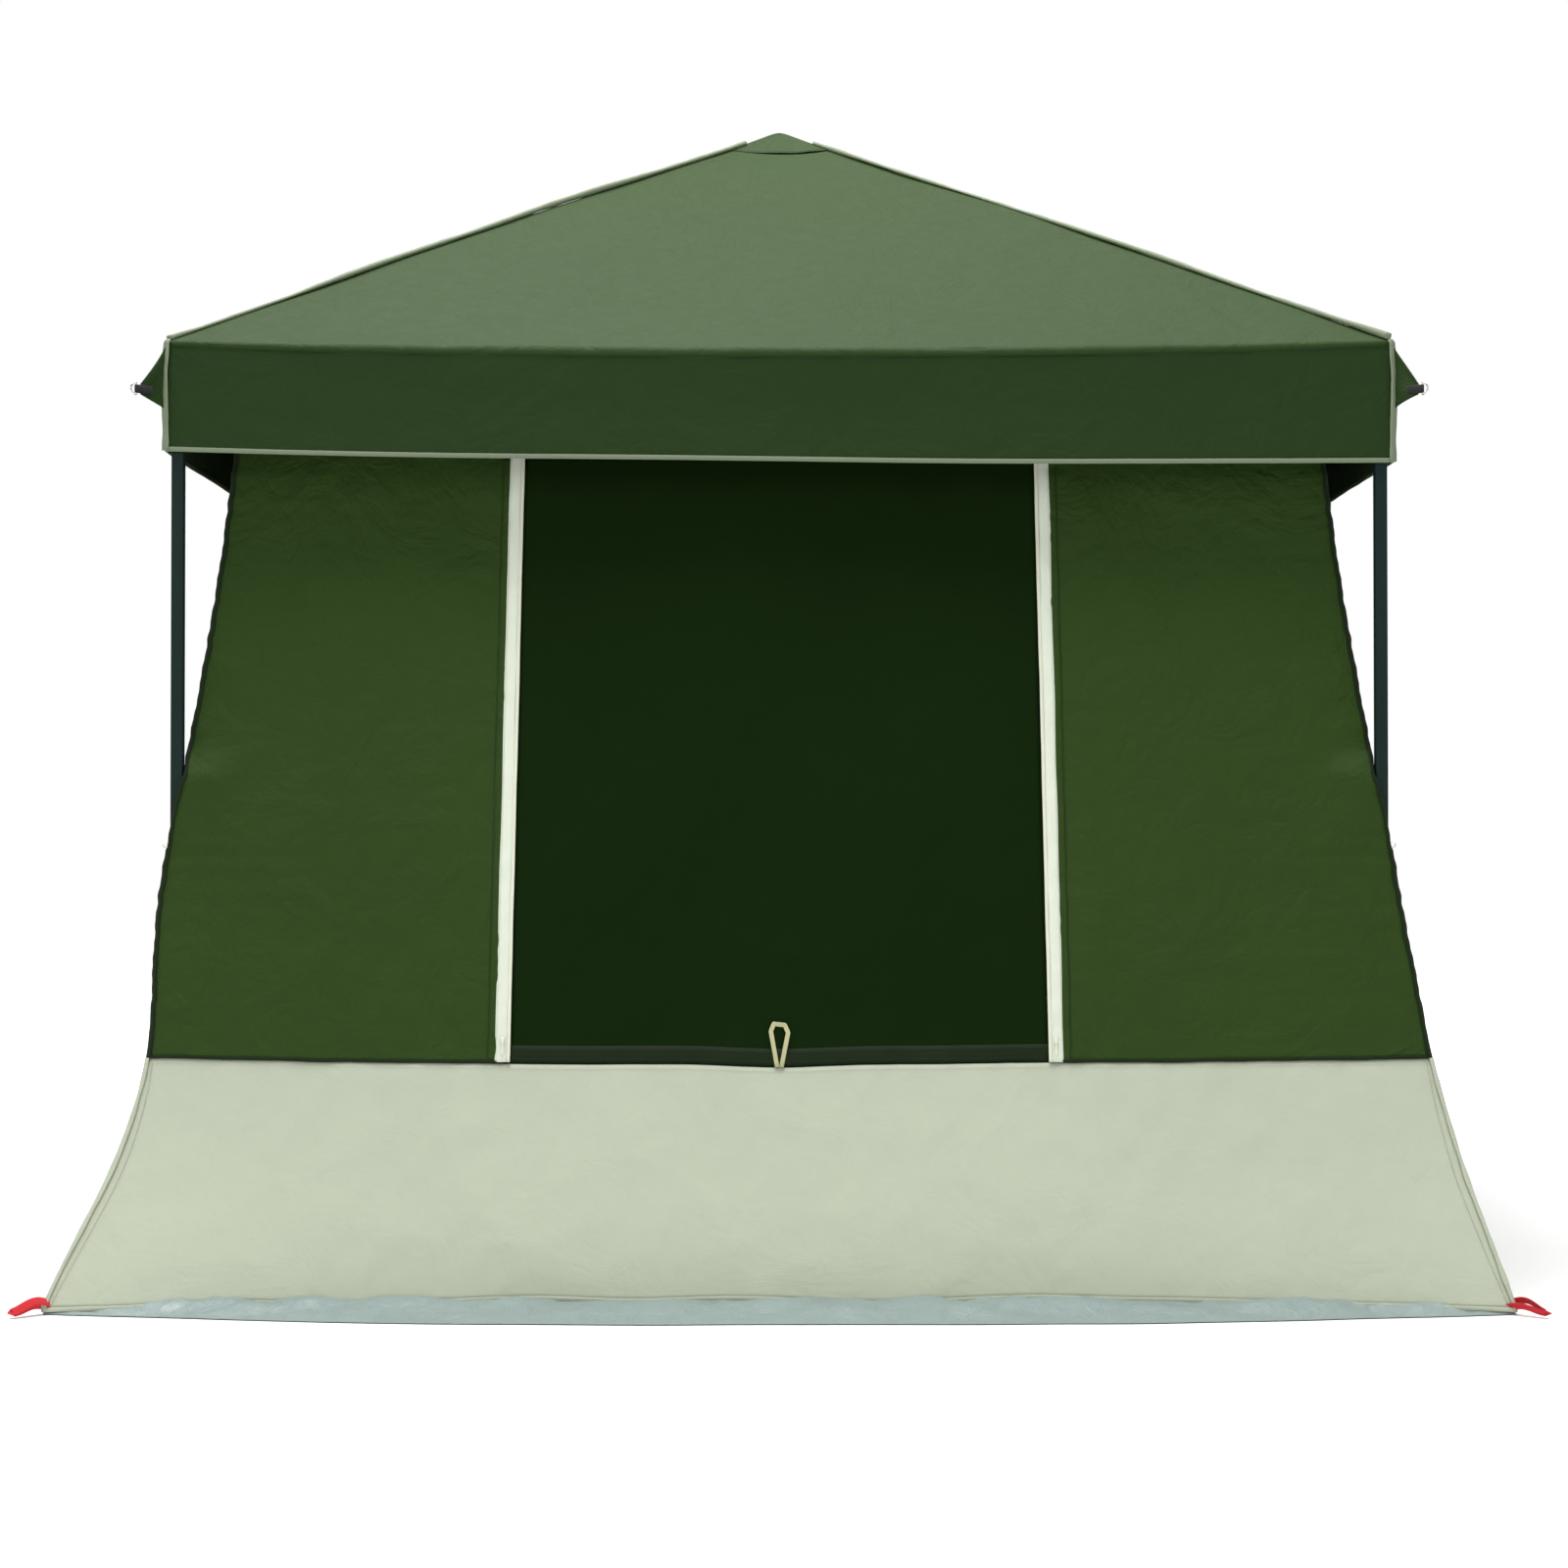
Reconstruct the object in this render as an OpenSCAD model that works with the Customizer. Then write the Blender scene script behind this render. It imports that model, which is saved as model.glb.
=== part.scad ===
// Screen house: a folding hub frame, a pyramid canopy with a hanging valance,
// and a screened room with a floor, a solid skirt and zipped panels.
// Millimetres. Origin at the centre of the floor, on the ground. +Z is up and
// the front looks along -Y.

/* [Canopy] */
// Width and depth of the canopy at the eave
canopy_w = 3020; // [3010:10:3060]
// Height of the eave above the ground
eave_h = 2350; // [2300:5:2400]
// Rise of the roof from the eave to the peak
roof_rise = 850; // [750:10:900]
// Depth of the valance that hangs from the eave
valance_h = 272; // [200:1:300]
// Half width of the patch sewn over the peak
patch_half = 145; // [100:5:200]
// Thickness of all the cloth
cloth_t = 2; // [1:0.5:3]

/* [Room] */
// Half width of the room on the ground
base_half = 1742; // [1720:1:1760]
// Half width of the room at the seam between skirt and wall
seam_half = 1573; // [1560:1:1600]
// Height of that seam
seam_h = 590; // [550:5:620]
// Half width of the room at the valance's lower edge
top_half = 1362; // [1350:1:1370]
// Height of the walls' upper hem, under the roof
hem_h = 2440; // [2420:5:2450]
// How far the floor bows out past the room in the middle of each side
floor_bow = 62; // [20:1:80]

/* [Panels and zips] */
// Distance from the centre line to each zip
zip_x = 665; // [600:5:700]
// Width of the cover strip over a zip
placket_w = 36; // [28:1:44]
// Height of the panels' upper hinge line
panel_top_h = 2085; // [2060:1:2100]
// Height of the sill left below the door
door_sill = 58; // [40:1:80]

/* [Legs] */
// Distance from the centre lines to each leg's axis
leg_pos = 1483; // [1475:1:1485]
// Width of the square upper leg tube
leg_w = 30; // [28:1:32]
// Width of the square lower leg tube
foot_tube_w = 24; // [22:1:25]
// Wall thickness of the frame tubes
tube_wall = 1.2; // [1:0.1:1.5]
// Height of the upper leg tube's lower end
leg_split_h = 1095; // [1080:5:1110]
// Length of lower leg that stays inside the upper leg
leg_overlap = 150; // [120:5:200]

/* [Roof arms] */
// Distance from the centre to the hub pivots
hub_pivot_r = 60; // [55:1:70]
// Distance from hub pivot to knee pivot
inner_arm_len = 1230; // [1200:5:1240]
// Width of the square arm tube
arm_w = 20; // [18:1:20]
// How far the arm tube's axis lies below its pivots
arm_drop = 13; // [13:0.5:14]
// How far the pivots lie below the ridge of the roof
pivot_drop = 26; // [25:1:30]
// Distance from the leg's axis inwards to the elbow pivot
elbow_in = 56; // [55:1:60]
// Radius of the pivot rivets
rivet_r = 3; // [2.5:0.25:3]

/* [Hidden] */
$fn = 48;
SIDES = ["front", "right", "rear", "left"];
CORNERS = ["rear_right", "rear_left", "front_left", "front_right"];
PANELS = ["window_front", "window_right", "door_rear", "window_left"];
FOUR = [0:3];
REAR = 2;

half_w = canopy_w / 2;
peak_h = eave_h + roof_rise;
wall_slope = (top_half - seam_half) / (eave_h - valance_h - seam_h);
hem_half = seam_half + wall_slope * (hem_h - seam_h);
wall_len = norm([seam_half - hem_half, hem_h - seam_h]);
skirt_len = norm([base_half - seam_half, seam_h]);
hinge_y = (panel_top_h - seam_h) * wall_len / (hem_h - seam_h);
roof_len = norm([half_w, roof_rise]);

// running clearance round a rivet, and the gap left between cloth panels
run_gap = 0.05;
seam_gap = 0.6;
open_gap = 4;
panel_half = zip_x - placket_w / 2 - 2;
cord_r = 2;

// roof arms, in the vertical plane through a corner
hip_slope = roof_rise / (half_w * sqrt(2));
hip_angle = atan(hip_slope);
leg_r = leg_pos * sqrt(2);
elbow_r = leg_r - elbow_in;
elbow_h = peak_h - hip_slope * elbow_r - pivot_drop;
hub_h = peak_h - hip_slope * hub_pivot_r - pivot_drop;
arm_span = (elbow_r - hub_pivot_r) / cos(hip_angle);
outer_arm_len = arm_span - inner_arm_len;

// end fittings of the arms
lug_r = 11;
tongue_t = 8;
cheek_t = 5;
cheek_gap = tongue_t + 1;
neck = 24;
shoulder = 10;
block_w = arm_w + 4;
plug_len = 30;

// legs
cap_w = leg_w + 2;
cap_top = eave_h - 10;
cap_h = 22;
collar_w = leg_w + 6;
collar_h = 40;
collar_low = leg_split_h - 15;
sheet_t = 2;
foot_t = 8;
foot_h = sheet_t + 0.6;

// guy points
ring_r = 15;
wire_r = 2;
ring_h = eave_h - 123;
ring_pos = half_w * sqrt(2) + 86;

// ---- placing ----

// turns a part drawn for the front side round to side k
module on_side(k) {
    rotate([0, 0, 90 * k]) children();
}

// turns a part drawn along +X round to corner k
module on_corner(k) {
    rotate([0, 0, 45 + 90 * k]) children();
}

// lays the XY plane on the slope that runs from (half0, h0) at its lower edge
// to (half1, h1) at its upper edge, with +Z outwards
module on_slope(half0, h0, half1, h1) {
    translate([0, -half0, h0])
        rotate([atan2(h1 - h0, half0 - half1), 0, 0]) children();
}

// raises a flat outline into cloth, its outer face a distance out of the plane
module cloth(out = 0, t = cloth_t) {
    translate([0, 0, out - t]) linear_extrude(t) children();
}

module on_wall() {
    on_slope(seam_half, seam_h, hem_half, hem_h) children();
}

module on_skirt() {
    on_slope(base_half, 0, seam_half, seam_h) children();
}

// a square tube standing on its end, with broken corners
module square_tube(w, len, wall = tube_wall) {
    linear_extrude(len)
        difference() {
            broken_square(w, 2);
            broken_square(w - 2 * wall, 1.2);
        }
}

module broken_square(w, c) {
    h = w / 2;
    polygon([[h - c, -h], [h, c - h], [h, h - c], [h - c, h],
             [c - h, h], [-h, h - c], [-h, c - h], [c - h, -h]]);
}

module box(w, h, z) {
    translate([-w / 2, -w / 2, z]) cube([w, w, h]);
}

// a rivet along Y, with two flat heads
module rivet(grip) {
    rotate([90, 0, 0]) {
        cylinder(r = rivet_r, h = grip + 0.4, center = true);
        for (s = [-1, 1])
            translate([0, 0, s * (grip / 2 + 1.1)])
                cylinder(r = 5, h = 2, center = true);
    }
}

module rivet_bore(grip) {
    rotate([90, 0, 0])
        cylinder(r = rivet_r + run_gap, h = grip + 2, center = true);
}

// ---- room ----

// half width of a sloping wall panel at y along its slope
function half_at(half0, half1, len, y) = half0 + (half1 - half0) * y / len;

module wall_outline(k) {
    inset = cloth_t + seam_gap;
    notch_y = wall_len - 111;
    low = half_at(seam_half, hem_half, wall_len, 1) - inset;
    mid = half_at(seam_half, hem_half, wall_len, notch_y) - inset;
    top = hem_half - 85;
    sill_y = k == REAR ? -10 : 20;
    difference() {
        polygon([[-low, 1], [low, 1], [mid, notch_y], [top, wall_len],
                 [-top, wall_len], [-mid, notch_y]]);
        translate([-panel_half - open_gap, sill_y])
            square([2 * (panel_half + open_gap), hinge_y + open_gap - sill_y]);
    }
}

// corner openings in the walls that the legs pass through
module leg_ports() {
    w = leg_w + 16;
    for (x = [-1, 1], y = [-1, 1])
        translate([x * leg_pos, y * leg_pos, 0]) box(w, 390, collar_low - 45);
}

module wall(k) {
    color("darkolivegreen")
        difference() {
            on_side(k) on_wall() cloth() wall_outline(k);
            leg_ports();
        }
}

module skirt_outline(k) {
    inset = cloth_t + seam_gap;
    low = half_at(base_half, seam_half, skirt_len, 5) - inset;
    top = seam_half - inset;
    difference() {
        polygon([[-low, 5], [low, 5], [top, skirt_len - 1], [-top, skirt_len - 1]]);
        if (k == REAR)
            translate([-panel_half - open_gap, door_sill])
                square([2 * (panel_half + open_gap), skirt_len]);
    }
}

module skirt() {
    color("beige")
        for (k = FOUR)
            on_side(k) on_skirt() cloth() skirt_outline(k);
}

module groundsheet() {
    b = base_half + 10;
    m = base_half + floor_bow;
    color("silver")
        linear_extrude(sheet_t)
            polygon([[-b, -b], [0, -m], [b, -b], [m, 0], [b, b], [0, m], [-b, b], [-m, 0]]);
}

// webbing loops for ground pegs, lying on the floor's corners
module stake_loops() {
    peg_hole_r = 9;
    len = 95;
    w = 28;
    color("crimson")
        for (k = FOUR)
            on_corner(k)
                translate([base_half * sqrt(2) - 40, 0, sheet_t + 0.3])
                    linear_extrude(1.5)
                        difference() {
                            union() {
                                translate([0, -w / 2]) square([40 + len - w / 2, w]);
                                translate([40 + len - w / 2, 0]) circle(r = w / 2);
                            }
                            translate([40 + len - w / 2 - 6, 0]) circle(r = peg_hole_r);
                        }
}

// cover strips over the zips; those beside the door run on down the skirt
module zip_plackets() {
    color("lightgray")
        for (k = FOUR, s = [-1, 1])
            on_side(k) {
                on_wall() cloth(1.8, 1.5)
                    translate([s * zip_x - placket_w / 2, 4])
                        square([placket_w, hinge_y]);
                if (k == REAR)
                    on_skirt() cloth(1.8, 1.5)
                        translate([s * zip_x - placket_w / 2, door_sill])
                            square([placket_w, skirt_len - door_sill - 2]);
            }
}

// two sliders, one per zip, each with a pull tab
module zip_pulls(k) {
    color("dimgray")
        on_side(k) on_wall()
            for (s = [-1, 1])
                translate([s * zip_x, 0, 0]) {
                    translate([-5, 40, 2]) cube([10, 16, 5]);
                    translate([-4, 12, 4]) cube([8, 30, 1.5]);
                }
}

// webbing arch on a panel's lower hem
module tie_loop() {
    w = 53;
    h = 103;
    band = 12;
    color("tan")
        cloth(2, 1.5)
            translate([0, 12])
                difference() {
                    union() {
                        translate([-w / 2, 0]) square([w, h - w / 2]);
                        translate([0, h - w / 2]) circle(r = w / 2);
                    }
                    translate([band - w / 2, -1]) square([w - 2 * band, h - w / 2 + 1]);
                    translate([0, h - w / 2]) circle(r = w / 2 - band);
                }
}

// zipped screen panel that swings up about the cord in its top hem; the door's
// solid lower part is sewn on at the seam
module zipped_panel(k) {
    low_y = k == REAR ? 1 : 20 + open_gap;
    door_y = door_sill + open_gap;
    on_side(k) {
        on_wall() {
            color("darkslategray") {
                cloth()
                    translate([-panel_half, low_y])
                        square([2 * panel_half, hinge_y - low_y]);
                translate([0, hinge_y, -cloth_t / 2])
                    rotate([0, 90, 0])
                        cylinder(r = cord_r, h = 2 * panel_half, center = true);
            }
            tie_loop();
        }
        if (k == REAR)
            color("beige")
                on_skirt() cloth()
                    translate([-panel_half, door_y])
                        square([2 * panel_half, skirt_len - door_y - 1]);
    }
}

// ---- canopy ----

module canopy_panel(k) {
    low = 3;
    inset = 1.5;
    top = roof_len - 40;
    color("darkseagreen")
        on_side(k)
            on_slope(half_w, eave_h, 0, peak_h) cloth()
                polygon([
                    [-half_at(half_w, 0, roof_len, low) + inset, low],
                    [half_at(half_w, 0, roof_len, low) - inset, low],
                    [half_at(half_w, 0, roof_len, top) - inset, top],
                    [-half_at(half_w, 0, roof_len, top) + inset, top]]);
}

module valance(k) {
    w = canopy_w - 2 * (cloth_t + seam_gap);
    color("darkgreen")
        on_side(k)
            translate([-w / 2, -half_w, eave_h - valance_h])
                cube([w, cloth_t, valance_h - 6]);
}

module peak_patch() {
    lift = 5;
    h = patch_half * roof_rise / half_w;
    base_z = peak_h - h + lift;
    color("darkseagreen")
        difference() {
            translate([0, 0, base_z]) roof_cone(patch_half, h);
            translate([0, 0, base_z - 2.3]) roof_cone(patch_half, h);
        }
}

module roof_cone(half, h) {
    rotate([0, 0, 45]) cylinder(r1 = half * sqrt(2), r2 = 0, h = h, $fn = 4);
}

// corner gussets with a webbing eye for the guy ring
module guy_tabs(k0) {
    root_r = half_w * sqrt(2) + 0.7;
    eye_h = 20;
    color("darkgreen")
        for (k = [k0, k0 + 1])
            on_corner(k)
                difference() {
                    union() {
                        rotate([90, 0, 0])
                            linear_extrude(2, center = true)
                                polygon([[root_r, eave_h - 12], [root_r, eave_h - 169],
                                         [ring_pos, ring_h - eye_h / 2],
                                         [ring_pos, ring_h + eye_h / 2]]);
                        translate([ring_pos, 0, ring_h - eye_h / 2])
                            cylinder(r = 4.6, h = eye_h);
                    }
                    translate([ring_pos, 0, ring_h - eye_h])
                        cylinder(r = wire_r + 0.6, h = 2 * eye_h);
                }
}

// D ring: a straight bar through the webbing eye and a half round bow
module guy_ring(k) {
    color("lightsteelblue")
        on_corner(k)
            translate([ring_pos, 0, ring_h]) {
                cylinder(r = wire_r, h = 2 * ring_r, center = true);
                difference() {
                    rotate([90, 0, 0])
                        rotate_extrude() translate([ring_r, 0]) circle(r = wire_r);
                    translate([-2 * ring_r, -ring_r, -2 * ring_r])
                        cube([2 * ring_r, 2 * ring_r, 4 * ring_r]);
                }
            }
}

// ---- roof frame ----

// side view of an arm's end: a round lug and the neck that steps down to the tube
module end_profile() {
    circle(r = lug_r);
    polygon([[0, lug_r], [0, -lug_r],
             [neck, -arm_drop - block_w / 2], [neck, block_w / 2 - arm_drop]]);
}

module shoulder_block() {
    plug_w = arm_w - 2 * tube_wall - 0.4;
    translate([neck, -block_w / 2, -arm_drop - block_w / 2])
        cube([shoulder, block_w, block_w]);
    translate([neck + shoulder, -plug_w / 2, -arm_drop - plug_w / 2])
        cube([plug_len, plug_w, plug_w]);
}

// end fitting with one central tongue, pivot at the origin, arm along +X
module tongue_end() {
    difference() {
        union() {
            rotate([90, 0, 0])
                linear_extrude(tongue_t, center = true) end_profile();
            shoulder_block();
        }
        rivet_bore(tongue_t);
    }
}

// end fitting with two cheeks, pivot at the origin, arm along +X
module cheek_end() {
    difference() {
        union() {
            for (s = [-1, 1])
                translate([0, s * (cheek_gap + cheek_t) / 2, 0])
                    rotate([90, 0, 0])
                        linear_extrude(cheek_t, center = true) end_profile();
            shoulder_block();
        }
        rivet_bore(cheek_gap + 2 * cheek_t);
    }
}

module arm_tube(len) {
    x = neck + shoulder + 0.1;
    translate([x, 0, -arm_drop])
        rotate([0, 90, 0]) square_tube(arm_w, len - 2 * x);
}

// from hub to knee; the knee rivet stays with this arm
module inner_arm(k) {
    on_corner(k)
        translate([hub_pivot_r, 0, hub_h])
            rotate([0, hip_angle, 0]) {
                color("dimgray") arm_tube(inner_arm_len);
                color("black") tongue_end();
                color("black")
                    translate([inner_arm_len, 0, 0]) mirror([1, 0, 0]) cheek_end();
                color("silver")
                    translate([inner_arm_len, 0, 0]) rivet(cheek_gap + 2 * cheek_t);
            }
}

// from knee to elbow
module outer_arm(k) {
    on_corner(k)
        translate([hub_pivot_r, 0, hub_h])
            rotate([0, hip_angle, 0])
                translate([inner_arm_len, 0, 0]) {
                    color("dimgray") arm_tube(outer_arm_len);
                    color("black") tongue_end();
                    color("black")
                        translate([outer_arm_len, 0, 0]) mirror([1, 0, 0]) tongue_end();
                }
}

// moulded centre with four pairs of cheeks, and their rivets
module hub() {
    boss_r = 26;
    cheek_r = 14;
    color("black")
        difference() {
            union() {
                translate([0, 0, hub_h - 22]) cylinder(r = boss_r, h = 40);
                for (k = FOUR, s = [-1, 1])
                    on_corner(k)
                        translate([0, s * (cheek_gap + cheek_t) / 2, hub_h])
                            rotate([90, 0, 0])
                                linear_extrude(cheek_t, center = true) {
                                    translate([15, -cheek_r])
                                        square([hub_pivot_r - 15, 2 * cheek_r - 3]);
                                    translate([hub_pivot_r, 0]) circle(r = lug_r);
                                }
            }
            for (k = FOUR)
                on_corner(k)
                    translate([hub_pivot_r, 0, hub_h]) rivet_bore(cheek_gap + 2 * cheek_t);
        }
    color("silver")
        for (k = FOUR)
            on_corner(k)
                translate([hub_pivot_r, 0, hub_h]) rivet(cheek_gap + 2 * cheek_t);
}

// ---- legs ----

module at_leg(k) {
    on_corner(k) translate([leg_r, 0, 0]) rotate([0, 0, 45]) children();
}

// moulded cap on the leg with two cheeks for the outer arm, and their rivet
module corner_bracket(k) {
    low = cap_top - cap_h;
    plug_w = leg_w - 2 * tube_wall - 0.4;
    side = [[-elbow_in, elbow_h + lug_r], [-elbow_in, elbow_h - lug_r],
            [-27, elbow_h - lug_r - 2], [-21, low], [0, low],
            [0, cap_top], [-15, cap_top + 8]];
    color("black")
        difference() {
            union() {
                at_leg(k) box(cap_w, cap_h, low);
                at_leg(k)
                    translate([0, 0, low - 29]) linear_extrude(30) broken_square(plug_w, 1.6);
                on_corner(k)
                    translate([leg_r, 0, 0])
                        for (s = [-1, 1])
                            translate([0, s * (cheek_gap + cheek_t) / 2, 0])
                                rotate([90, 0, 0])
                                    linear_extrude(cheek_t, center = true) {
                                        polygon(side);
                                        translate([-elbow_in, elbow_h]) circle(r = lug_r);
                                    }
            }
            on_corner(k)
                translate([elbow_r, 0, elbow_h]) rivet_bore(cheek_gap + 2 * cheek_t);
        }
    color("silver")
        on_corner(k)
            translate([elbow_r, 0, elbow_h]) rivet(cheek_gap + 2 * cheek_t);
}

module upper_leg(k) {
    len = cap_top - cap_h - 0.2 - leg_split_h;
    color("darkslategray")
        at_leg(k) translate([0, 0, leg_split_h]) square_tube(leg_w, len);
}

// end collar that guides the lower leg, with a housing for the release button
module leg_collar(k) {
    color("ivory")
        at_leg(k)
            difference() {
                union() {
                    box(collar_w, collar_h, collar_low);
                    translate([-collar_w / 2 - 12, -11, collar_low + 4])
                        cube([13, 22, collar_h - 8]);
                }
                box(leg_w + 0.4, collar_h, leg_split_h);
                box(foot_tube_w + 0.8, collar_h, collar_low - 1);
                translate([-collar_w / 2 - 13, 0, collar_low + collar_h / 2])
                    rotate([0, 90, 0]) cylinder(r = 7.3, h = 12);
            }
}

module release_button(k) {
    travel = 5;
    color("dimgray")
        at_leg(k)
            translate([-collar_w / 2 - 12 - travel, 0, collar_low + collar_h / 2])
                rotate([0, 90, 0]) cylinder(r = 7, h = travel + 5);
}

// lower tube with its foot pad
module lower_leg(k) {
    low = foot_h + foot_t;
    plug = foot_tube_w - 2 * tube_wall - 0.4;
    color("silver")
        at_leg(k)
            translate([0, 0, low + 0.1])
                square_tube(foot_tube_w, leg_split_h + leg_overlap - low);
    color("black")
        at_leg(k) {
            box(60, foot_t, foot_h);
            box(plug, 25, low);
        }
}

// ---- nodes ----

groundsheet();
skirt();
zip_plackets();
stake_loops();
hub();
peak_patch();
guy_tabs(2);  // guy_tabs_front
guy_tabs(0);  // guy_tabs_rear
for (k = FOUR) {
    side = SIDES[k];
    corner = CORNERS[k];
    zipped_panel(k);
    wall(k);
    zip_pulls(k);
    canopy_panel(k);
    valance(k);
    inner_arm(k);
    outer_arm(k);
    corner_bracket(k);
    upper_leg(k);
    leg_collar(k);
    release_button(k);
    lower_leg(k);
    guy_ring(k);
}
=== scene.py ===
import math

import bpy
import numpy as np
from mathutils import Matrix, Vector, noise


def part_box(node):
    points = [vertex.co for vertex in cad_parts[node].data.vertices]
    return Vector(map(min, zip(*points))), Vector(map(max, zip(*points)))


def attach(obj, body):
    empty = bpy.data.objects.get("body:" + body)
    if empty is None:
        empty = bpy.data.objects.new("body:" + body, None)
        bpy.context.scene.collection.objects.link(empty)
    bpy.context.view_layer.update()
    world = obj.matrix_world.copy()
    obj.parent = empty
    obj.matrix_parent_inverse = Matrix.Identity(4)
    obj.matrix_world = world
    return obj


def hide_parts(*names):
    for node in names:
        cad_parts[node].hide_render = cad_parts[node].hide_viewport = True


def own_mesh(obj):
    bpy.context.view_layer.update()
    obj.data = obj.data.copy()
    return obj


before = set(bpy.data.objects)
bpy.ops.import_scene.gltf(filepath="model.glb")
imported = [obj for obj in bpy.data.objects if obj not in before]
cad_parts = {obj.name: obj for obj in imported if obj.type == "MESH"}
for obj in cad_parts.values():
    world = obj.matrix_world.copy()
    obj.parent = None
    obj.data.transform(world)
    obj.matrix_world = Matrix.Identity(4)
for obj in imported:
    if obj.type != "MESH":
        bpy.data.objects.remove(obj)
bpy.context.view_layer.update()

SIDES = ("front", "right", "rear", "left")
# the corner at the +a and -a end of each side
PLUS_END = ("front_right", "rear_right", "rear_left", "front_left")
MINUS_END = ("front_left", "front_right", "rear_right", "rear_left")
PANELS = ("window_front", "window_right", "door_rear", "window_left")
REAR = 2

# ---- sizes, from the frame where it has them ----

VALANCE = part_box("valance_front")
OUTER = -VALANCE[0].y - 0.002            # outward distance of the canopy's upright part
VALANCE_LOW = VALANCE[0].z
PEAK_Z = 3.2
EAVE_Z = 2.35
ROOF_SLOPE = (PEAK_Z - EAVE_Z) / (OUTER + 0.002)
ROOF_ANGLE = math.atan(ROOF_SLOPE)
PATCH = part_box("peak_patch")[1].x
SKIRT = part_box("skirt")
BASE = SKIRT[1].x
SEAM_Z = SKIRT[1].z
HEM_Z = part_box("wall_front")[1].z
WALL_TOP = HEM_Z - 0.032                 # clear of the roof, which sags a little
HINGE_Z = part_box("window_front")[1].z - 0.002
HINGE_OUT = 1.361                        # outward distance of the panels' hinge line
SEAM_OUT = 1.572                         # the same at the seam, away from the corners
SEAM_HALF = 1.575                        # half width of the room at the seam
PORT_Z = 1.1                             # lower end of the port that a leg comes in by
SLIT_TOP = 1.44                          # upper end of the slit beside the leg
DOOR_HALF = 0.652                        # half width of the opening in the rear skirt
ZIP_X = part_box("zip_pulls_front")[1].x - 0.005
LEG_IN, LEG_OUT = (corner.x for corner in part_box("upper_leg_front_right"))
EAVE_LIP = 0.006                         # shares of a roof panel's v: a lip hanging down,
EAVE_ARC = 0.04                          # and the end of the rolled eave
TURNING = 0.1                            # share of the valance that goes up the eave

# half width of the room's corner edge at a height: the wall leans out to the leg,
# runs almost upright below the leg port and flares out again down the skirt
EDGE = [(0.0, 1.752), (0.09, 1.722), (0.2, 1.684), (0.31, 1.646), (0.43, 1.612),
        (0.59, 1.575), (0.75, 1.552), (0.90, 1.532), (1.02, 1.515), (1.12, 1.502),
        (1.26, 1.475), (1.5, 1.436), (1.85, 1.388), (2.06, 1.366), (2.45, 1.332)]


# ---- placing and small maths ----

def place(k, a, d, z):
    """Row frame points from side k's own terms: a along the side, d outwards."""
    c, s = (1, 0, -1, 0)[k], (0, 1, 0, -1)[k]
    return np.stack([a * c + d * s, a * s - d * c, z + 0 * a], axis=-1)


def outward(k, v, along=0.0, out=1.0):
    """A direction on side k, once for each value in v; straight outwards by default."""
    return place(k, along + 0 * v, out + 0 * v, 0 * v)


def corner_at(k, end):
    """The corner at the +a or -a end of side k."""
    return (PLUS_END if end > 0 else MINUS_END)[k]


def hand(end):
    return "right" if end > 0 else "left"


def facing_out(end, points, *uv):
    """Turns round a grid that was laid out towards -a, so that it faces outwards."""
    return (points, uv) if end > 0 else (points[:, ::-1], [w[:, ::-1] for w in uv])


def ease(x, lo, hi):
    t = np.clip((x - lo) / (hi - lo), 0, 1)
    return t * t * (3 - 2 * t)


def curve_at(points, x):
    """A smooth curve through the points, with Catmull-Rom slopes."""
    px = np.array([p[0] for p in points])
    py = np.array([p[1] for p in points])
    slope = np.gradient(py, px)
    x = np.clip(x, px[0], px[-1])
    i = np.clip(np.searchsorted(px, x) - 1, 0, len(px) - 2)
    h = px[i + 1] - px[i]
    t = (x - px[i]) / h
    return ((1 + 2 * t) * (1 - t) ** 2 * py[i] + t * (1 - t) ** 2 * h * slope[i]
            + t * t * (3 - 2 * t) * py[i + 1] + t * t * (t - 1) * h * slope[i + 1])


def rough(p, q, seed, sharp=False):
    """Smooth noise between -1 and 1; sharp gives thin creases instead of hills."""
    p, q = np.broadcast_arrays(np.asarray(p, float), np.asarray(q, float))
    flat = [noise.noise((x, y, seed * 7.31)) for x, y in zip(p.ravel(), q.ravel())]
    n = np.array(flat).reshape(p.shape)
    return 1 - 2.6 * np.abs(n) if sharp else 1.6 * n


# ---- mesh makers ----

def new_object(name, verts, faces, material, uvs=None):
    mesh = bpy.data.meshes.new(name)
    mesh.from_pydata([tuple(v) for v in verts], [], [tuple(f) for f in faces])
    if uvs is not None:
        layer = mesh.uv_layers.new(name="UVMap")
        loops = np.zeros(len(mesh.loops), np.int32)
        mesh.loops.foreach_get("vertex_index", loops)
        layer.data.foreach_set("uv", np.asarray(uvs, np.float32)[loops].ravel())
    mesh.polygons.foreach_set("use_smooth", [True] * len(mesh.polygons))
    mesh.update()
    obj = bpy.data.objects.new(name, mesh)
    bpy.context.scene.collection.objects.link(obj)
    mesh.materials.append(material)
    return obj


def sheet(name, points, uv, material, thick=0.0005):
    """A cloth sheet from a grid of points, faces outwards, given a thickness inwards.
    uv is a pair of grids, in metres of cloth."""
    rows, cols = points.shape[:2]
    index = np.arange(rows * cols).reshape(rows, cols)
    a, b = index[:-1, :-1].ravel(), index[:-1, 1:].ravel()
    c, d = index[1:, 1:].ravel(), index[1:, :-1].ravel()
    obj = new_object(name, points.reshape(-1, 3), np.stack([a, b, c, d], 1), material,
                     np.stack(uv, -1).reshape(-1, 2))
    solid = obj.modifiers.new("thickness", "SOLIDIFY")
    solid.thickness = thick
    solid.offset = -1
    return obj


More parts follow.
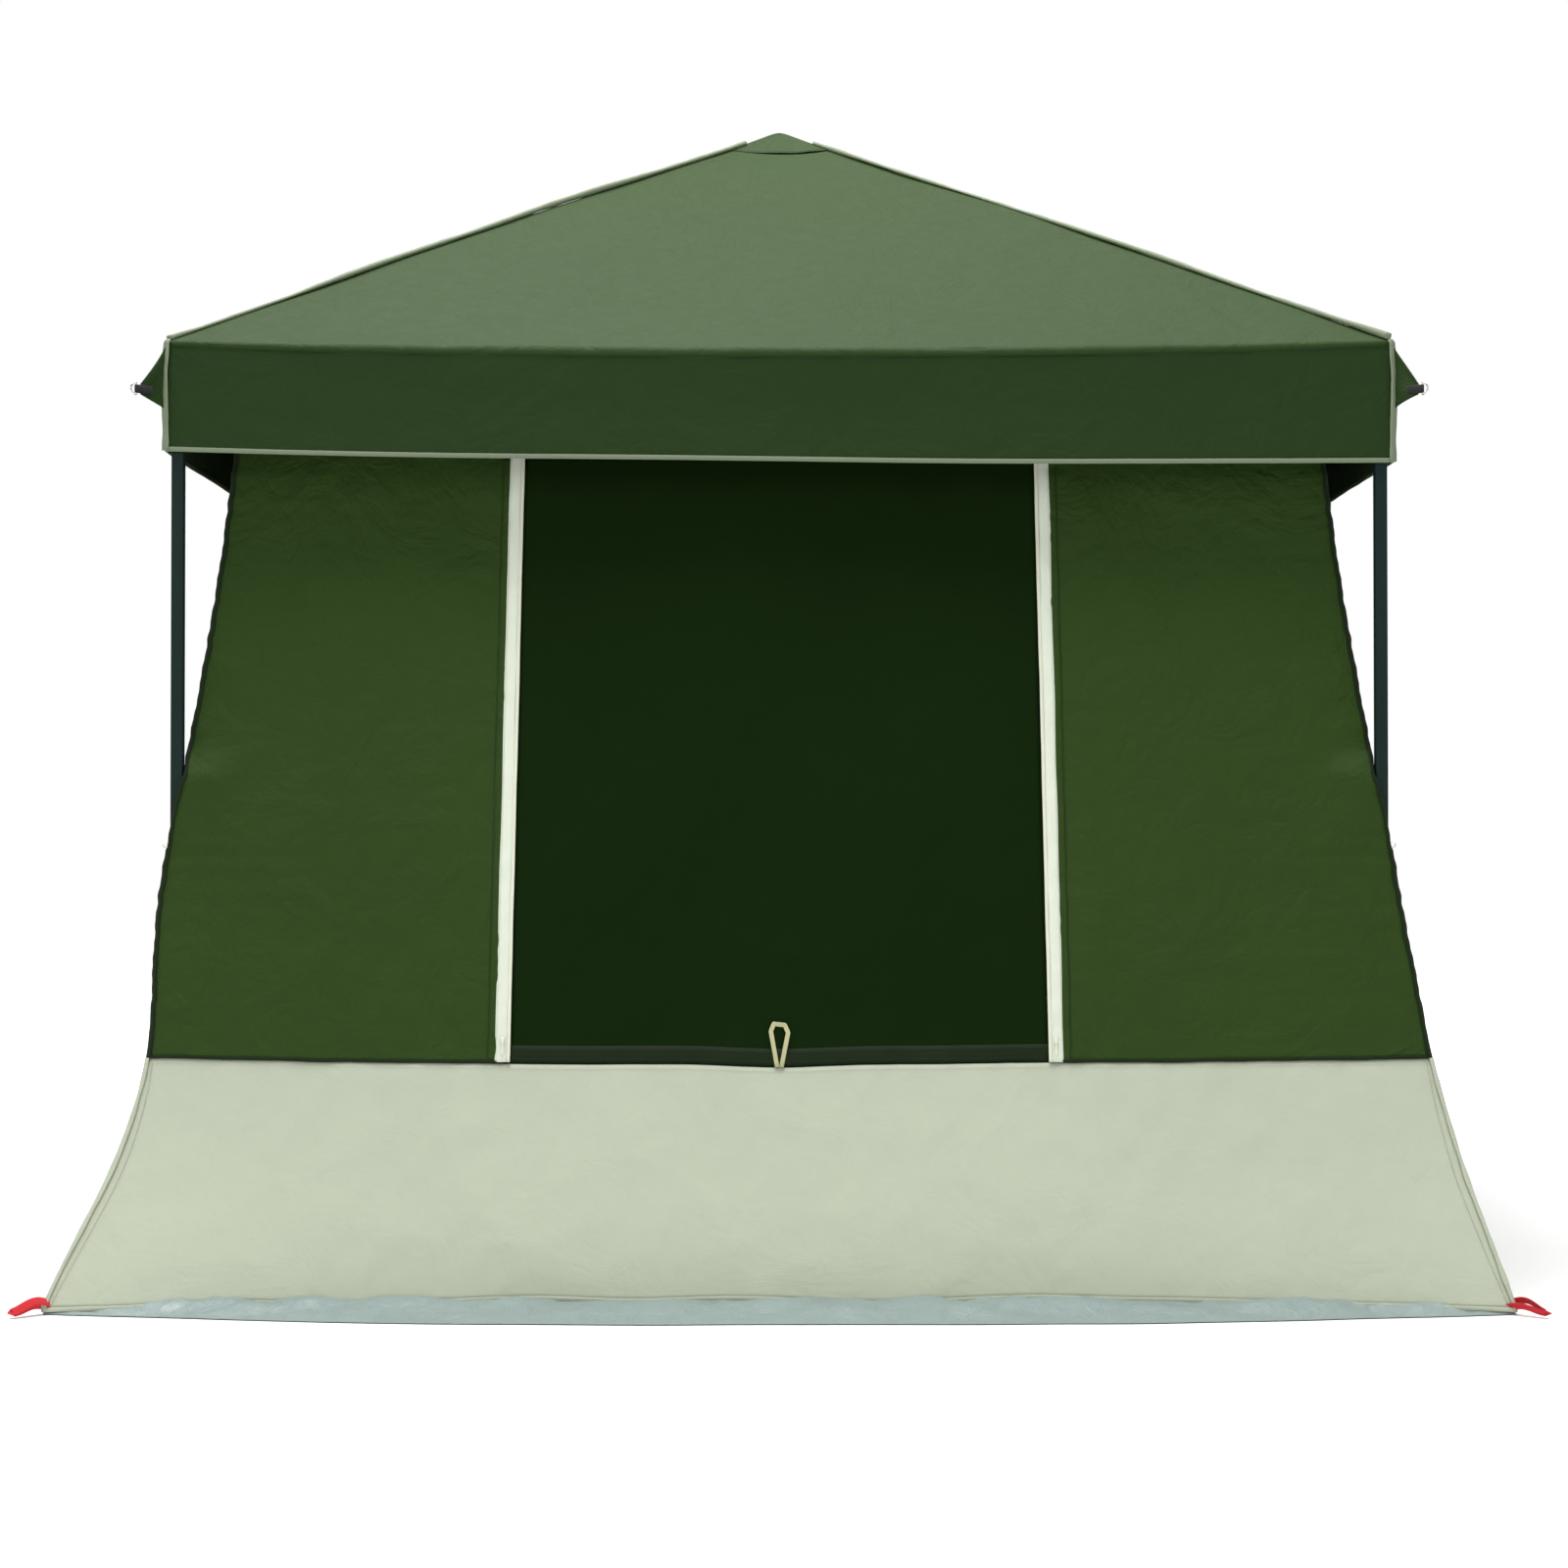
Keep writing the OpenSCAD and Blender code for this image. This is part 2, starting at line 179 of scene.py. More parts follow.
def sweep(name, path, out, width, height, material, sides=12, flat=2.6):
    """A closed band along a path. width lies along the surface, height along out."""
    path, out = np.asarray(path, float), np.asarray(out, float)
    n = len(path)
    width, height = np.broadcast_to(width, n), np.broadcast_to(height, n)
    along = np.gradient(path, axis=0)
    along /= np.linalg.norm(along, axis=1)[:, None]
    across = np.cross(along, np.broadcast_to(out, path.shape))
    across /= np.linalg.norm(across, axis=1)[:, None]
    up = np.cross(across, along)
    t = np.arange(sides) * 2 * math.pi / sides
    cs = np.sign(np.cos(t)) * np.abs(np.cos(t)) ** (2 / flat)
    sn = np.sign(np.sin(t)) * np.abs(np.sin(t)) ** (2 / flat)
    ring = (path[:, None] + across[:, None] * (cs[None, :, None] * width[:, None, None] / 2)
            + up[:, None] * (sn[None, :, None] * height[:, None, None] / 2))
    length = np.concatenate([[0], np.cumsum(np.linalg.norm(np.diff(path, axis=0), axis=1))])
    uv = np.stack(np.broadcast_arrays(length[:, None], t[None] * 0.01), -1).reshape(-1, 2)
    index = np.arange(n * sides).reshape(n, sides)
    nxt = np.roll(index, -1, axis=1)
    quads = np.stack([index[:-1], nxt[:-1], nxt[1:], index[1:]], -1).reshape(-1, 4)
    faces = [tuple(f) for f in quads] + [tuple(index[0][::-1]), tuple(index[-1])]
    return new_object(name, ring.reshape(-1, 3), faces, material, uv)


def stitches(name, path, out, material, pitch=0.007, length=0.0045, r=0.0006):
    """A row of short threads lying on a path."""
    path, out = np.asarray(path, float), np.asarray(out, float)
    out = np.broadcast_to(out, path.shape)
    run = np.concatenate([[0], np.cumsum(np.linalg.norm(np.diff(path, axis=0), axis=1))])
    at = np.arange(pitch, run[-1] - pitch, pitch)
    sample = lambda s, w: np.stack([np.interp(s, run, w[:, i]) for i in range(3)], -1)
    mid, o = sample(at, path), sample(at, out)
    tan = sample(at + length / 2, path) - sample(at - length / 2, path)
    tan /= np.linalg.norm(tan, axis=1)[:, None]
    side = np.cross(tan, o)
    side /= np.linalg.norm(side, axis=1)[:, None]
    up = np.cross(side, tan)
    shape = [(-1, 0, 0), (-0.6, 1, 0), (-0.6, 0, 1), (-0.6, -1, 0), (-0.6, 0, -1),
             (0.6, 1, 0), (0.6, 0, 1), (0.6, -1, 0), (0.6, 0, -1), (1, 0, 0)]
    faces = [(0, 2, 1), (0, 3, 2), (0, 4, 3), (0, 1, 4), (1, 2, 6, 5), (2, 3, 7, 6),
             (3, 4, 8, 7), (4, 1, 5, 8), (5, 6, 9), (6, 7, 9), (7, 8, 9), (8, 5, 9)]
    verts = [mid + tan * (x * length / 2) + side * (y * r) + up * ((z + 0.5) * r)
             for x, y, z in shape]
    verts = np.stack(verts, 1).reshape(-1, 3)
    all_faces = [tuple(v + 10 * i for v in f) for i in range(len(at)) for f in faces]
    return new_object(name, verts, all_faces, material)


# ---- materials ----

def rgb(r, g, b):
    """Linear colour from 0-255 screen values."""
    lin = lambda c: c / 12.92 if c <= 0.04045 else ((c + 0.055) / 1.055) ** 2.4
    return tuple(lin(v / 255) for v in (r, g, b)) + (1,)


class Nodes:
    """A material being built; each method adds one node and returns its output."""

    def __init__(self, name):
        self.mat = bpy.data.materials.new(name)
        self.mat.use_nodes = True
        self.tree = self.mat.node_tree
        self.bsdf = self.tree.nodes["Principled BSDF"]

    def add(self, kind, inputs=None, **props):
        node = self.tree.nodes.new(kind)
        for key, value in props.items():
            setattr(node, key, value)
        for key, value in (inputs or {}).items():
            self.put(node.inputs[key], value)
        return node

    def put(self, socket, value):
        if isinstance(value, bpy.types.NodeSocket):
            self.tree.links.new(value, socket)
        else:
            socket.default_value = value

    def coords(self, kind="Object"):
        return self.add("ShaderNodeTexCoord").outputs[kind]

    def noise(self, vector, scale, detail=4, rough=0.55, distort=0.0):
        node = self.add("ShaderNodeTexNoise", {
            "Vector": vector, "Scale": scale, "Detail": detail, "Roughness": rough,
            "Distortion": distort})
        return node.outputs["Fac"]

    def wave(self, vector, pitch, direction, distort=0.0):
        node = self.add("ShaderNodeTexWave", {
            "Vector": vector, "Scale": math.pi / (10 * pitch), "Distortion": distort},
            bands_direction=direction)
        return node.outputs["Fac"]

    def math(self, op, a, b=0.0, c=None):
        inputs = {0: a, 1: b}
        if c is not None:
            inputs[2] = c
        return self.add("ShaderNodeMath", inputs, operation=op).outputs[0]

    def mix(self, fac, a, b, blend="MIX"):
        node = self.add("ShaderNodeMix", data_type="RGBA", blend_type=blend)
        self.put(node.inputs[0], fac)
        self.put(node.inputs[6], a)
        self.put(node.inputs[7], b)
        return node.outputs[2]

    def bump(self, height, strength, distance, below=None):
        inputs = {"Height": height, "Strength": strength, "Distance": distance}
        if below is not None:
            inputs["Normal"] = below
        return self.add("ShaderNodeBump", inputs).outputs["Normal"]

    def finish(self, **inputs):
        for key, value in inputs.items():
            self.put(self.bsdf.inputs[key.replace("_", " ")], value)
        return self.mat


def shade(colour, k):
    return tuple(min(1, c * k) for c in colour[:3]) + (1,)


def woven(name, colour, thread=0.0011, crease=0.5, roughness=0.62, sheen=0.04,
          vary=0.09, weave=0.25):
    """Coated polyester: a fine plain weave, soft creases and slightly uneven dye."""
    n = Nodes(name)
    uv, spot = n.coords("UV"), n.coords("Object")
    cloud = n.noise(spot, 1.7, 3, 0.5)
    fine = n.noise(spot, 26, 5, 0.65)
    base = n.mix(cloud, shade(colour, 1 - vary), shade(colour, 1 + vary))
    base = n.mix(n.math("MULTIPLY", fine, 0.35), base, shade(colour, 0.82))
    warp = n.wave(uv, thread, "X")
    weft = n.wave(uv, thread, "Y")
    cross = n.math("ADD", warp, weft)
    long_creases = n.noise(spot, 4.5, 6, 0.6, 1.4)
    thin = n.math("ABSOLUTE", n.math("SUBTRACT", n.noise(spot, 9.0, 3, 0.5, 0.8), 0.5))
    thin = n.math("MINIMUM", n.math("MULTIPLY", thin, 9.0), 1.0)
    level = n.bump(long_creases, 0.5 * crease, 0.02)
    level = n.bump(thin, 0.22 * crease, 0.004, level)
    level = n.bump(cross, weave, 0.0004, level)
    matt = n.math("MULTIPLY_ADD", fine, 0.16, roughness - 0.08)
    return n.finish(Base_Color=base, Roughness=matt, Normal=level, Sheen_Weight=sheen,
                    Sheen_Roughness=0.4, Specular_IOR_Level=0.12)


def screen(name, colour):
    """Dark insect screen, kept opaque: an open hexagon-like net, with the shade of the dark
    room behind it painted into its holes.
    """
    n = Nodes(name)
    uv, spot = n.coords("UV"), n.coords("Object")
    x = n.wave(uv, 0.0021, "X")
    y = n.wave(uv, 0.0021, "Y")
    net = n.math("MAXIMUM", x, y)
    cloud = n.noise(spot, 2.3, 3)
    thread = n.mix(cloud, shade(colour, 0.9), shade(colour, 1.25))
    # painted shade: the dark inside of the room, seen through the net, put into the holes'
    # colour
    painted_shade_in_holes = shade(colour, 0.45)
    base = n.mix(n.math("GREATER_THAN", net, 0.72), painted_shade_in_holes, thread)
    level = n.bump(n.noise(spot, 3.2, 4, 0.55, 0.6), 0.25, 0.015)
    level = n.bump(net, 0.4, 0.0006, level)
    return n.finish(Base_Color=base, Roughness=0.85, Normal=level,
                    Specular_IOR_Level=0.06)


def tarpaulin(name, colour):
    """Woven polyethylene floor: flat tapes under a slightly shiny film, crinkled."""
    n = Nodes(name)
    uv, spot = n.coords("UV"), n.coords("Object")
    x = n.wave(uv, 0.0042, "X")
    y = n.wave(uv, 0.0042, "Y")
    grid = n.math("MULTIPLY", x, y)
    cloud = n.noise(spot, 6, 5, 0.6)
    crinkle = n.noise(spot, 22, 6, 0.62, 1.2)
    base = n.mix(cloud, shade(colour, 0.86), shade(colour, 1.1))
    base = n.mix(n.math("MULTIPLY", grid, 0.3), base, shade(colour, 0.8))
    level = n.bump(crinkle, 0.8, 0.008)
    level = n.bump(grid, 0.3, 0.0005, level)
    matt = n.math("MULTIPLY_ADD", cloud, 0.2, 0.3)
    return n.finish(Base_Color=base, Roughness=matt, Normal=level, Coat_Weight=0.15)


def webbing(name, colour, rib=0.0022):
    """Ribbed tape, the ribs running across it."""
    n = Nodes(name)
    uv, spot = n.coords("UV"), n.coords("Object")
    ribs = n.wave(uv, rib, "X", 0.4)
    fine = n.noise(spot, 160, 3)
    base = n.mix(ribs, shade(colour, 0.72), shade(colour, 1.1))
    base = n.mix(n.math("MULTIPLY", fine, 0.3), base, shade(colour, 0.7))
    level = n.bump(ribs, 0.6, 0.0006)
    level = n.bump(fine, 0.3, 0.0004, level)
    return n.finish(Base_Color=base, Roughness=0.8, Normal=level, Sheen_Weight=0.04)


def thread(name, colour):
    n = Nodes(name)
    fine = n.noise(n.coords("Object"), 900, 2)
    base = n.mix(fine, shade(colour, 0.75), shade(colour, 1.15))
    return n.finish(Base_Color=base, Roughness=0.7)


def powder_coat(name, colour):
    """Baked enamel on steel tube: faint orange peel, lighter on the corners."""
    n = Nodes(name)
    spot = n.coords("Object")
    peel = n.noise(spot, 420, 2, 0.5)
    cloud = n.noise(spot, 5, 4, 0.6)
    scuff = n.math("GREATER_THAN", n.noise(spot, 34, 6, 0.7, 0.5), 0.69)
    edge = n.add("ShaderNodeNewGeometry").outputs["Pointiness"]
    lighter_corners = n.math("MULTIPLY", n.math("GREATER_THAN", edge, 0.53), cloud)
    base = n.mix(cloud, shade(colour, 0.85), shade(colour, 1.2))
    base = n.mix(n.math("MULTIPLY", lighter_corners, 0.5), base, shade(colour, 2.2))
    base = n.mix(n.math("MULTIPLY", scuff, 0.25), base, shade(colour, 1.9))
    matt = n.math("MULTIPLY_ADD", cloud, 0.2, 0.36)
    return n.finish(Base_Color=base, Roughness=matt, Normal=n.bump(peel, 0.12, 0.0004),
                    Specular_IOR_Level=0.15)


def moulded(name, colour, roughness=0.5):
    """Injection-moulded plastic with a fine spark-eroded grain."""
    n = Nodes(name)
    spot = n.coords("Object")
    grain = n.noise(spot, 900, 3, 0.6)
    cloud = n.noise(spot, 14, 4)
    base = n.mix(cloud, shade(colour, 0.9), shade(colour, 1.12))
    matt = n.math("MULTIPLY_ADD", cloud, 0.14, roughness - 0.07)
    return n.finish(Base_Color=base, Roughness=matt, Normal=n.bump(grain, 0.25, 0.0003))


def plated(name):
    """Nickel-plated wire with fine drawing marks."""
    n = Nodes(name)
    spot = n.coords("Object")
    marks = n.noise(spot, 600, 4, 0.7, 0.3)
    cloud = n.noise(spot, 60, 3)
    base = n.mix(cloud, (0.62, 0.62, 0.6, 1), (0.8, 0.8, 0.79, 1))
    matt = n.math("MULTIPLY_ADD", marks, 0.16, 0.17)
    return n.finish(Base_Color=base, Roughness=matt, Metallic=1.0,
                    Normal=n.bump(marks, 0.15, 0.0002))


M = {
    # the roof is the valance's green cloth; its slightly lighter colour is painted light,
    # standing for the extra sheen on the up-facing roof
    "roof": woven("roof_polyester_painted_light", rgb(35, 55, 16), crease=0.9),
    "valance": woven("valance_polyester", rgb(31, 52, 18), crease=0.9),
    "wall": woven("wall_polyester", rgb(40, 62, 18), crease=1.5),
    "screen": screen("screen_net", rgb(15, 35, 5)),
    "hem": woven("hem_polyester", rgb(20, 34, 12), crease=0.3),
    "skirt": woven("skirt_polyester", rgb(174, 180, 161), crease=0.45, vary=0.03),
    "floor": tarpaulin("floor_polyethylene", rgb(129, 144, 142)),
    "binding": webbing("binding_tape", rgb(118, 130, 104)),
    "strip": woven("strip_polyester", rgb(211, 218, 201), crease=0.5, vary=0.03),
    "tape": webbing("zip_tape", rgb(226, 228, 208), 0.0016),
    "tan": webbing("tan_webbing", rgb(186, 184, 140)),
    "red": webbing("red_webbing", rgb(196, 16, 28)),
    "black_web": webbing("black_webbing", rgb(12, 14, 12)),
    "white_web": webbing("white_webbing", rgb(226, 226, 214)),
    "dark_thread": thread("dark_thread", rgb(24, 38, 18)),
    "pale_thread": thread("pale_thread", rgb(176, 180, 160)),
    "enamel": powder_coat("enamelled_tube", rgb(12, 29, 27)),
    "black": moulded("black_plastic", rgb(24, 25, 26)),
    "ivory": moulded("ivory_plastic", rgb(224, 223, 210), 0.42),
    "grey": moulded("grey_plastic", rgb(70, 72, 74)),
    "pale": moulded("pale_plastic", rgb(206, 208, 192), 0.4),
    "steel": plated("plated_steel"),
}


def dress(node, material):
    """Gives a carried-over CAD node its material."""
    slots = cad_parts[node].data.materials
    slots.clear()
    slots.append(M[material])


# ---- shapes of the cloth ----

def roof_lift(d, u):
    """How far the roof stands over its ideal plane: rounded over the hub, up on the
    hips and slack between them."""
    run = np.clip(d / OUTER, 0, 1)
    peak = 0.012 * np.exp(-d / 0.06) - ROOF_SLOPE * (np.sqrt(d * d + 0.0004) - d)
    hip = 0.003 + 0.010 * np.sin(math.pi * run) ** 1.5
    slack = 0.022 * np.sin(math.pi * run) * (1 - np.abs(u) ** 2.2)
    eave_sag = 0.014 * ease(run, 0.55, 1.0) * (1 - u * u)
    return peak + hip * np.abs(u) ** 3 - slack - eave_sag


def eave_radius(u):
    return 0.012 + 0.016 * (1 - np.abs(u) ** 4)


def roof_points(k, u, v):
    """Roof of side k: u from -1 to 1 between the hips, v from 0 at the lower edge of
    the rolled eave to 1 at the peak. The last part of v is flat, the first an arc."""
    r = eave_radius(u)
    s = math.sin(ROOF_ANGLE)
    tangent_d = OUTER - r + r * s
    turn = np.clip((v - EAVE_LIP) / (EAVE_ARC - EAVE_LIP), 0, 1)
    phi = turn * (math.pi / 2 - ROOF_ANGLE)
    centre_z = PEAK_Z - ROOF_SLOPE * tangent_d - r * math.cos(ROOF_ANGLE)
    on_arc = v <= EAVE_ARC
    t = np.clip((v - EAVE_ARC) / (1 - EAVE_ARC), 0, 1)
    top_d = 0.075                        # open over the hub, under the patch
    d = np.where(on_arc, OUTER - r + r * np.cos(phi), tangent_d + (top_d - tangent_d) * t)
    z = np.where(on_arc, centre_z + r * np.sin(phi) - np.maximum(EAVE_LIP - v, 0),
                 PEAK_Z - ROOF_SLOPE * d)
    away = 1 - np.abs(u) ** 6
    near_hip = np.exp(-(1 - np.abs(u)) * d / 0.05) * away
    along = d * 1.4
    puckers = 0.0030 * near_hip * rough(along * 14, u * d * 5, 3 + k)
    swell = 0.0050 * away * rough(u * d * 1.1, d * 1.4, 11 + k)
    fine = 0.0014 * away * rough(u * d * 5.5, d * 6.5, 17 + k)
    drag = 0.0022 * away * rough(u * d * 2.2 + d * 3, d * 0.8 - u * d, 23 + k, True)
    soft = ease(v, 0.0, 0.06)
    z = z + roof_lift(d, u) + soft * (puckers + swell + fine + drag)
    return place(k, u * d, d, z)


def valance_low(k, a):
    """Height of the valance's lower edge along side k."""
    drop = {"front_left": 0.012, "front_right": -0.016, "rear_right": 0.0,
            "rear_left": 0.006}
    t = a / OUTER
    ends = (drop[PLUS_END[k]] * (1 + t) + drop[MINUS_END[k]] * (1 - t)) / 2
    wave = 0.003 * rough(a * 1.2, 0, 31 + k) * (1 - t * t)
    return VALANCE_LOW - 0.003 + ends - 0.012 * (1 - t * t) + wave


def valance_out(k, a, t):
    """Outward distance of the valance, t from 0 at the eave to 1 at the lower edge."""
    u = a / OUTER
    calm = 1 - np.abs(u) ** 8
    flare = 0.004 * t
    belly = -0.004 * np.sin(math.pi * t) * calm
    wave = 0.006 * t * rough(a * 1.6, t * 0.5, 37 + k) * calm
    fine = 0.0013 * rough(a * 9, t * 2.5, 41 + k) * calm
    return OUTER + flare + belly + wave + fine


def valance_points(k, a, t):
    """Valance of side k, t as above; from -TURNING to 0 it follows the rolled eave, just
    under the roof."""
    u = np.clip(a / OUTER, -1, 1)
    r = eave_radius(u)
    tangent_d = OUTER - r + r * math.sin(ROOF_ANGLE)
    top = (PEAK_Z - ROOF_SLOPE * tangent_d) - r * math.cos(ROOF_ANGLE)
    top = top + roof_lift(np.full_like(u, OUTER), u)
    phi = np.clip(-t, 0, TURNING) / TURNING * 0.9 * (math.pi / 2 - ROOF_ANGLE)
    under = r - 0.002
    low = valance_low(k, a)
    d = valance_out(k, a, np.maximum(t, 0)) - 0.001 - under * (1 - np.cos(phi))
    z = top + (low - top) * np.maximum(t, 0) + under * np.sin(phi)
    return place(k, a * d / OUTER, d, z)


def edge(z):
    """Half width of the room's corner edge, puckered a little by its stitching."""
    scallop = 0.0010 * np.sin(z * 71 + 2.2 * np.sin(z * 19)) + 0.0006 * np.sin(z * 167)
    return curve_at(EDGE, z) + scallop * ease(z, 0.62, 0.75)


def middle(z):
    """Half width of the room away from its corners, where the wall runs straight."""
    wall = SEAM_OUT + (HINGE_OUT - SEAM_OUT) * (z - SEAM_Z) / (HINGE_Z - SEAM_Z)
    return np.where(z < SEAM_Z, edge(z) - 0.003, wall)


def seam_height(a):
    """Height of the seam between wall and skirt: it dips in the middle of a side."""
    t = np.clip(a / SEAM_HALF, -1, 1)
    dip = 0.010 * np.exp(-(a / 0.16) ** 2)
    wave = 0.0035 * rough(a * 2.2, 0, 53)
    return SEAM_Z + 0.006 - 0.014 * (1 - t * t) - dip + wave * (1 - t ** 8)


def seam_at(a):
    """The same for a single place."""
    return seam_height(np.array([a]))[0]


def port(k, a, z):
    """How far the front and rear walls are held out past the leg beside its port."""
    need = np.maximum(0, LEG_OUT + 0.008 - edge(z)) * (k % 2 == 0)
    return need * (1 - ease(z, 1.27, 1.36)) * ease(np.abs(a), 1.30, 1.44)


def corner_limit(k, z):
    """Where the wall ends at its corner: slit beside the leg, further down in the side
    walls, and cut back round the roof arms at the top."""
    low = 1.26 if k % 2 == 0 else PORT_Z
    slit = np.maximum(0, edge(z) - LEG_IN + 0.005) * ease(z, low, low + 0.03)
    notch = 0.085 * ease(z, WALL_TOP - 0.10, WALL_TOP)
    return edge(z) - slit * (1 - ease(z, SLIT_TOP, 1.5)) - notch - 0.001


def room_out(k, a, z):
    """Outward distance of the room's cloth on side k."""
    w = edge(z)
    u = np.clip(a / w, -1, 1)
    calm = 1 - np.abs(u) ** 10
    near_edge = np.exp(-(1 - np.abs(u)) * w / 0.055)
    to_seam = np.abs(z - SEAM_Z)
    near_seam = np.exp(-to_seam / 0.05)
    wall_bow = 0.006 * np.sin(math.pi * np.clip((z - SEAM_Z) / (HEM_Z - SEAM_Z), 0, 1))
    skirt_bow = 0.010 * np.sin(math.pi * np.clip(z / SEAM_Z, 0, 1))
    swell = 0.007 * rough(a * 0.9, z * 0.9, 61 + k)
    soft = 0.0040 * rough(a * 3.0 + z, z * 2.6 - a * 0.7, 67 + k)
    drag = 0.0034 * rough(a * 2.4 + z * 2.2, z * 1.3 - a * 1.6, 71 + k, True)
    drag = drag + 0.0016 * rough(a * 7 - z * 4, z * 5 + a * 3, 72 + k, True)
    fine = 0.0010 * rough(a * 15, z * 13, 75 + k)
    near_zip = np.exp(-np.maximum(np.abs(a) - ZIP_X, 0) / 0.03) * (np.abs(a) > ZIP_X)
    puckers = 0.0052 * near_edge * rough(a * 2, z * 22, 73 + k)
    puckers = puckers + fine + 0.0022 * near_zip * rough(a * 3, z * 26, 77 + k)
    gather = 0.0040 * near_seam * rough(a * 20, z * 3, 79 + k)
    # the strain at the port draws short folds in towards the panel
    pull = np.exp(-((z - PORT_Z) / 0.06) ** 2) * np.exp(-(w - np.abs(a)) / 0.16)
    folds = 0.005 * pull * np.sin((z - PORT_Z) * 2 * math.pi / 0.05)
    bows = (skirt_bow + wall_bow) * (1 - u * u)
    base = middle(z) + (w - middle(z)) * np.abs(u) ** 5
    # a cord keeps the panels' hinge line straight, and the zips keep theirs nearly so
    free = 1 - np.exp(-((z - HINGE_Z) / 0.10) ** 2) * (1 - ease(np.abs(a), 0.68, 0.78))
    by_zip = np.exp(-((np.abs(a) - ZIP_X) / 0.06) ** 2) * ease(z, SEAM_Z - 0.15, SEAM_Z)
    free = free * (1 - 0.7 * by_zip)
    slack = calm * (gather + puckers + folds)
    return base + port(k, a, z) + slack + free * (bows + calm * (swell + soft + drag))


def zip_line(z):
    """Distance of the zips from the centre line: they splay a little going down."""
    t = (z - SEAM_Z) / (HINGE_Z - SEAM_Z)
    return ZIP_X + 0.009 - 0.018 * t


# ---- canopy ----

def folds_sideways(obj):
    """Gives a canopy piece its own copy of its mesh."""
    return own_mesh(obj)


def to_canopy(piece, body):
    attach(piece, body)
    folds_sideways(piece)


def lies_down(obj):
    """Gives a room piece its own copy of its mesh."""
    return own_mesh(obj)


def spread(n, power):
    """n values from -1 to 1, closer together at both ends."""
    t = np.linspace(-1, 1, n)
    return np.sign(t) * (1 - (1 - np.abs(t)) ** power)


def canopy_side(k):
    side = SIDES[k]
    u = spread(171, 1.35)
    v = np.concatenate([[0], np.linspace(EAVE_LIP, EAVE_ARC, 9),
                        np.linspace(EAVE_ARC, 1, 96)[1:]])
    U, V = np.meshgrid(u, v)
    points = roof_points(k, U, V)
    roof = sheet("roof_" + side, points, (U * (1 - V) * 1.5, V * 1.15 * 1.5), M["roof"])
    to_canopy(roof, "canopy_" + side)
    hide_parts("canopy_panel_" + side)

    a = spread(201, 1.2) * OUTER
    t = np.concatenate([np.linspace(-TURNING, 0, 6)[:-1], np.linspace(0, 1, 26)])
    A, T = np.meshgrid(a, t)
    cloth = sheet("valance_cloth_" + side, valance_points(k, A, T)[::-1],
                  (A[::-1], T[::-1] * 0.27), M["valance"])
    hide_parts("valance_" + side)

    path = valance_points(k, a, np.ones_like(a))
    out = outward(k, a)
    hem = sweep("valance_hem_" + side, path, out, 0.012, 0.0042, M["binding"])
    hem_stitch = stitches("valance_stitch_" + side,
                          valance_points(k, a, np.full_like(a, 0.955)) + out * 0.0008,
                          out, M["dark_thread"])
    top_stitch = stitches("eave_stitch_" + side,
                          valance_points(k, a, np.full_like(a, 0.03)) + out * 0.0008,
                          out, M["dark_thread"])
    for piece in (cloth, hem, hem_stitch, top_stitch):
        to_canopy(piece, "valance_" + side)


def peak_patch(k):
    """One side of the square patch sewn over the peak, with its stitched hem."""
    u = np.linspace(-1, 1, 41)
    U, T = np.meshgrid(u, np.linspace(0, 1, 22))
    d = PATCH * (1 - T)
    z = PEAK_Z + 0.0035 - ROOF_SLOPE * d + roof_lift(d, U)
    z = z + 0.0022 * rough(U * d * 16, d * 20, 83 + k) * (1 - U ** 6) * (1 - T)
    patch = sheet("peak_patch_" + SIDES[k], place(k, U * d, d, z),
                  (U * d, T * PATCH), M["roof"])
    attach(patch, "hub")
    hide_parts("peak_patch")
    row = place(k, u * d[1], d[1], z[1] + 0.0008)
    out = place(k, 0 * u, np.full_like(u, math.sin(ROOF_ANGLE)), math.cos(ROOF_ANGLE))
    stitch = stitches("peak_stitch_" + SIDES[k], row, out, M["dark_thread"], r=0.0009)
    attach(stitch, "hub")


def hip_binding(k, end):
    """The bound seam along a hip, lying a little wavy on the ridge."""
    corner = corner_at(k, end)
    d = np.linspace(0.10, OUTER - 0.004, 190)
    z = PEAK_Z - ROOF_SLOPE * d + roof_lift(d, np.ones_like(d))
    roll = np.clip(0.5 + 0.7 * rough(d * 2.6, 0, 91 + k + end), 0, 1)
    z = z + 0.003 + 0.006 * roll
    lean = 0.004 * rough(d * 4, 0, 95 + k + end)
    a = end * (d + lean)
    path = place(k, a, d - lean, z)
    out = place(k, end * np.full_like(d, 0.35), np.full_like(d, 0.35), 1.0)
    width = 0.017 + 0.004 * rough(d * 4, 0, 99 + k + end)
    height = 0.009 + 0.008 * roll + 0.002 * rough(d * 22, 0, 97 + k + end)
    piece = sweep("hip_binding_" + corner, path, out, width, height, M["binding"])
    to_canopy(piece, "canopy_" + SIDES[k])


def corner_binding(k, end):
    """The bound upright seam at a corner of the valance."""
    corner = corner_at(k, end)
    t = np.linspace(-TURNING, 1.012, 44)
    a = np.full_like(t, end * OUTER)
    path = valance_points(k, a, t)
    bulge = 0.0025 * np.sin(math.pi * np.clip(t, 0, 1) * 1.6)
    path = path + place(k, end * (bulge + 0.002), bulge + 0.002, 0 * t)
    out = outward(k, t, 0.7 * end, 0.7)
    width = 0.022 + 0.003 * rough(t * 6, 0, 105 + k)
    height = 0.009 + 0.003 * rough(t * 9, 0, 107 + k)
    piece = sweep("corner_binding_" + corner, path, out, width, height, M["binding"])
    to_canopy(piece, "valance_" + SIDES[k])


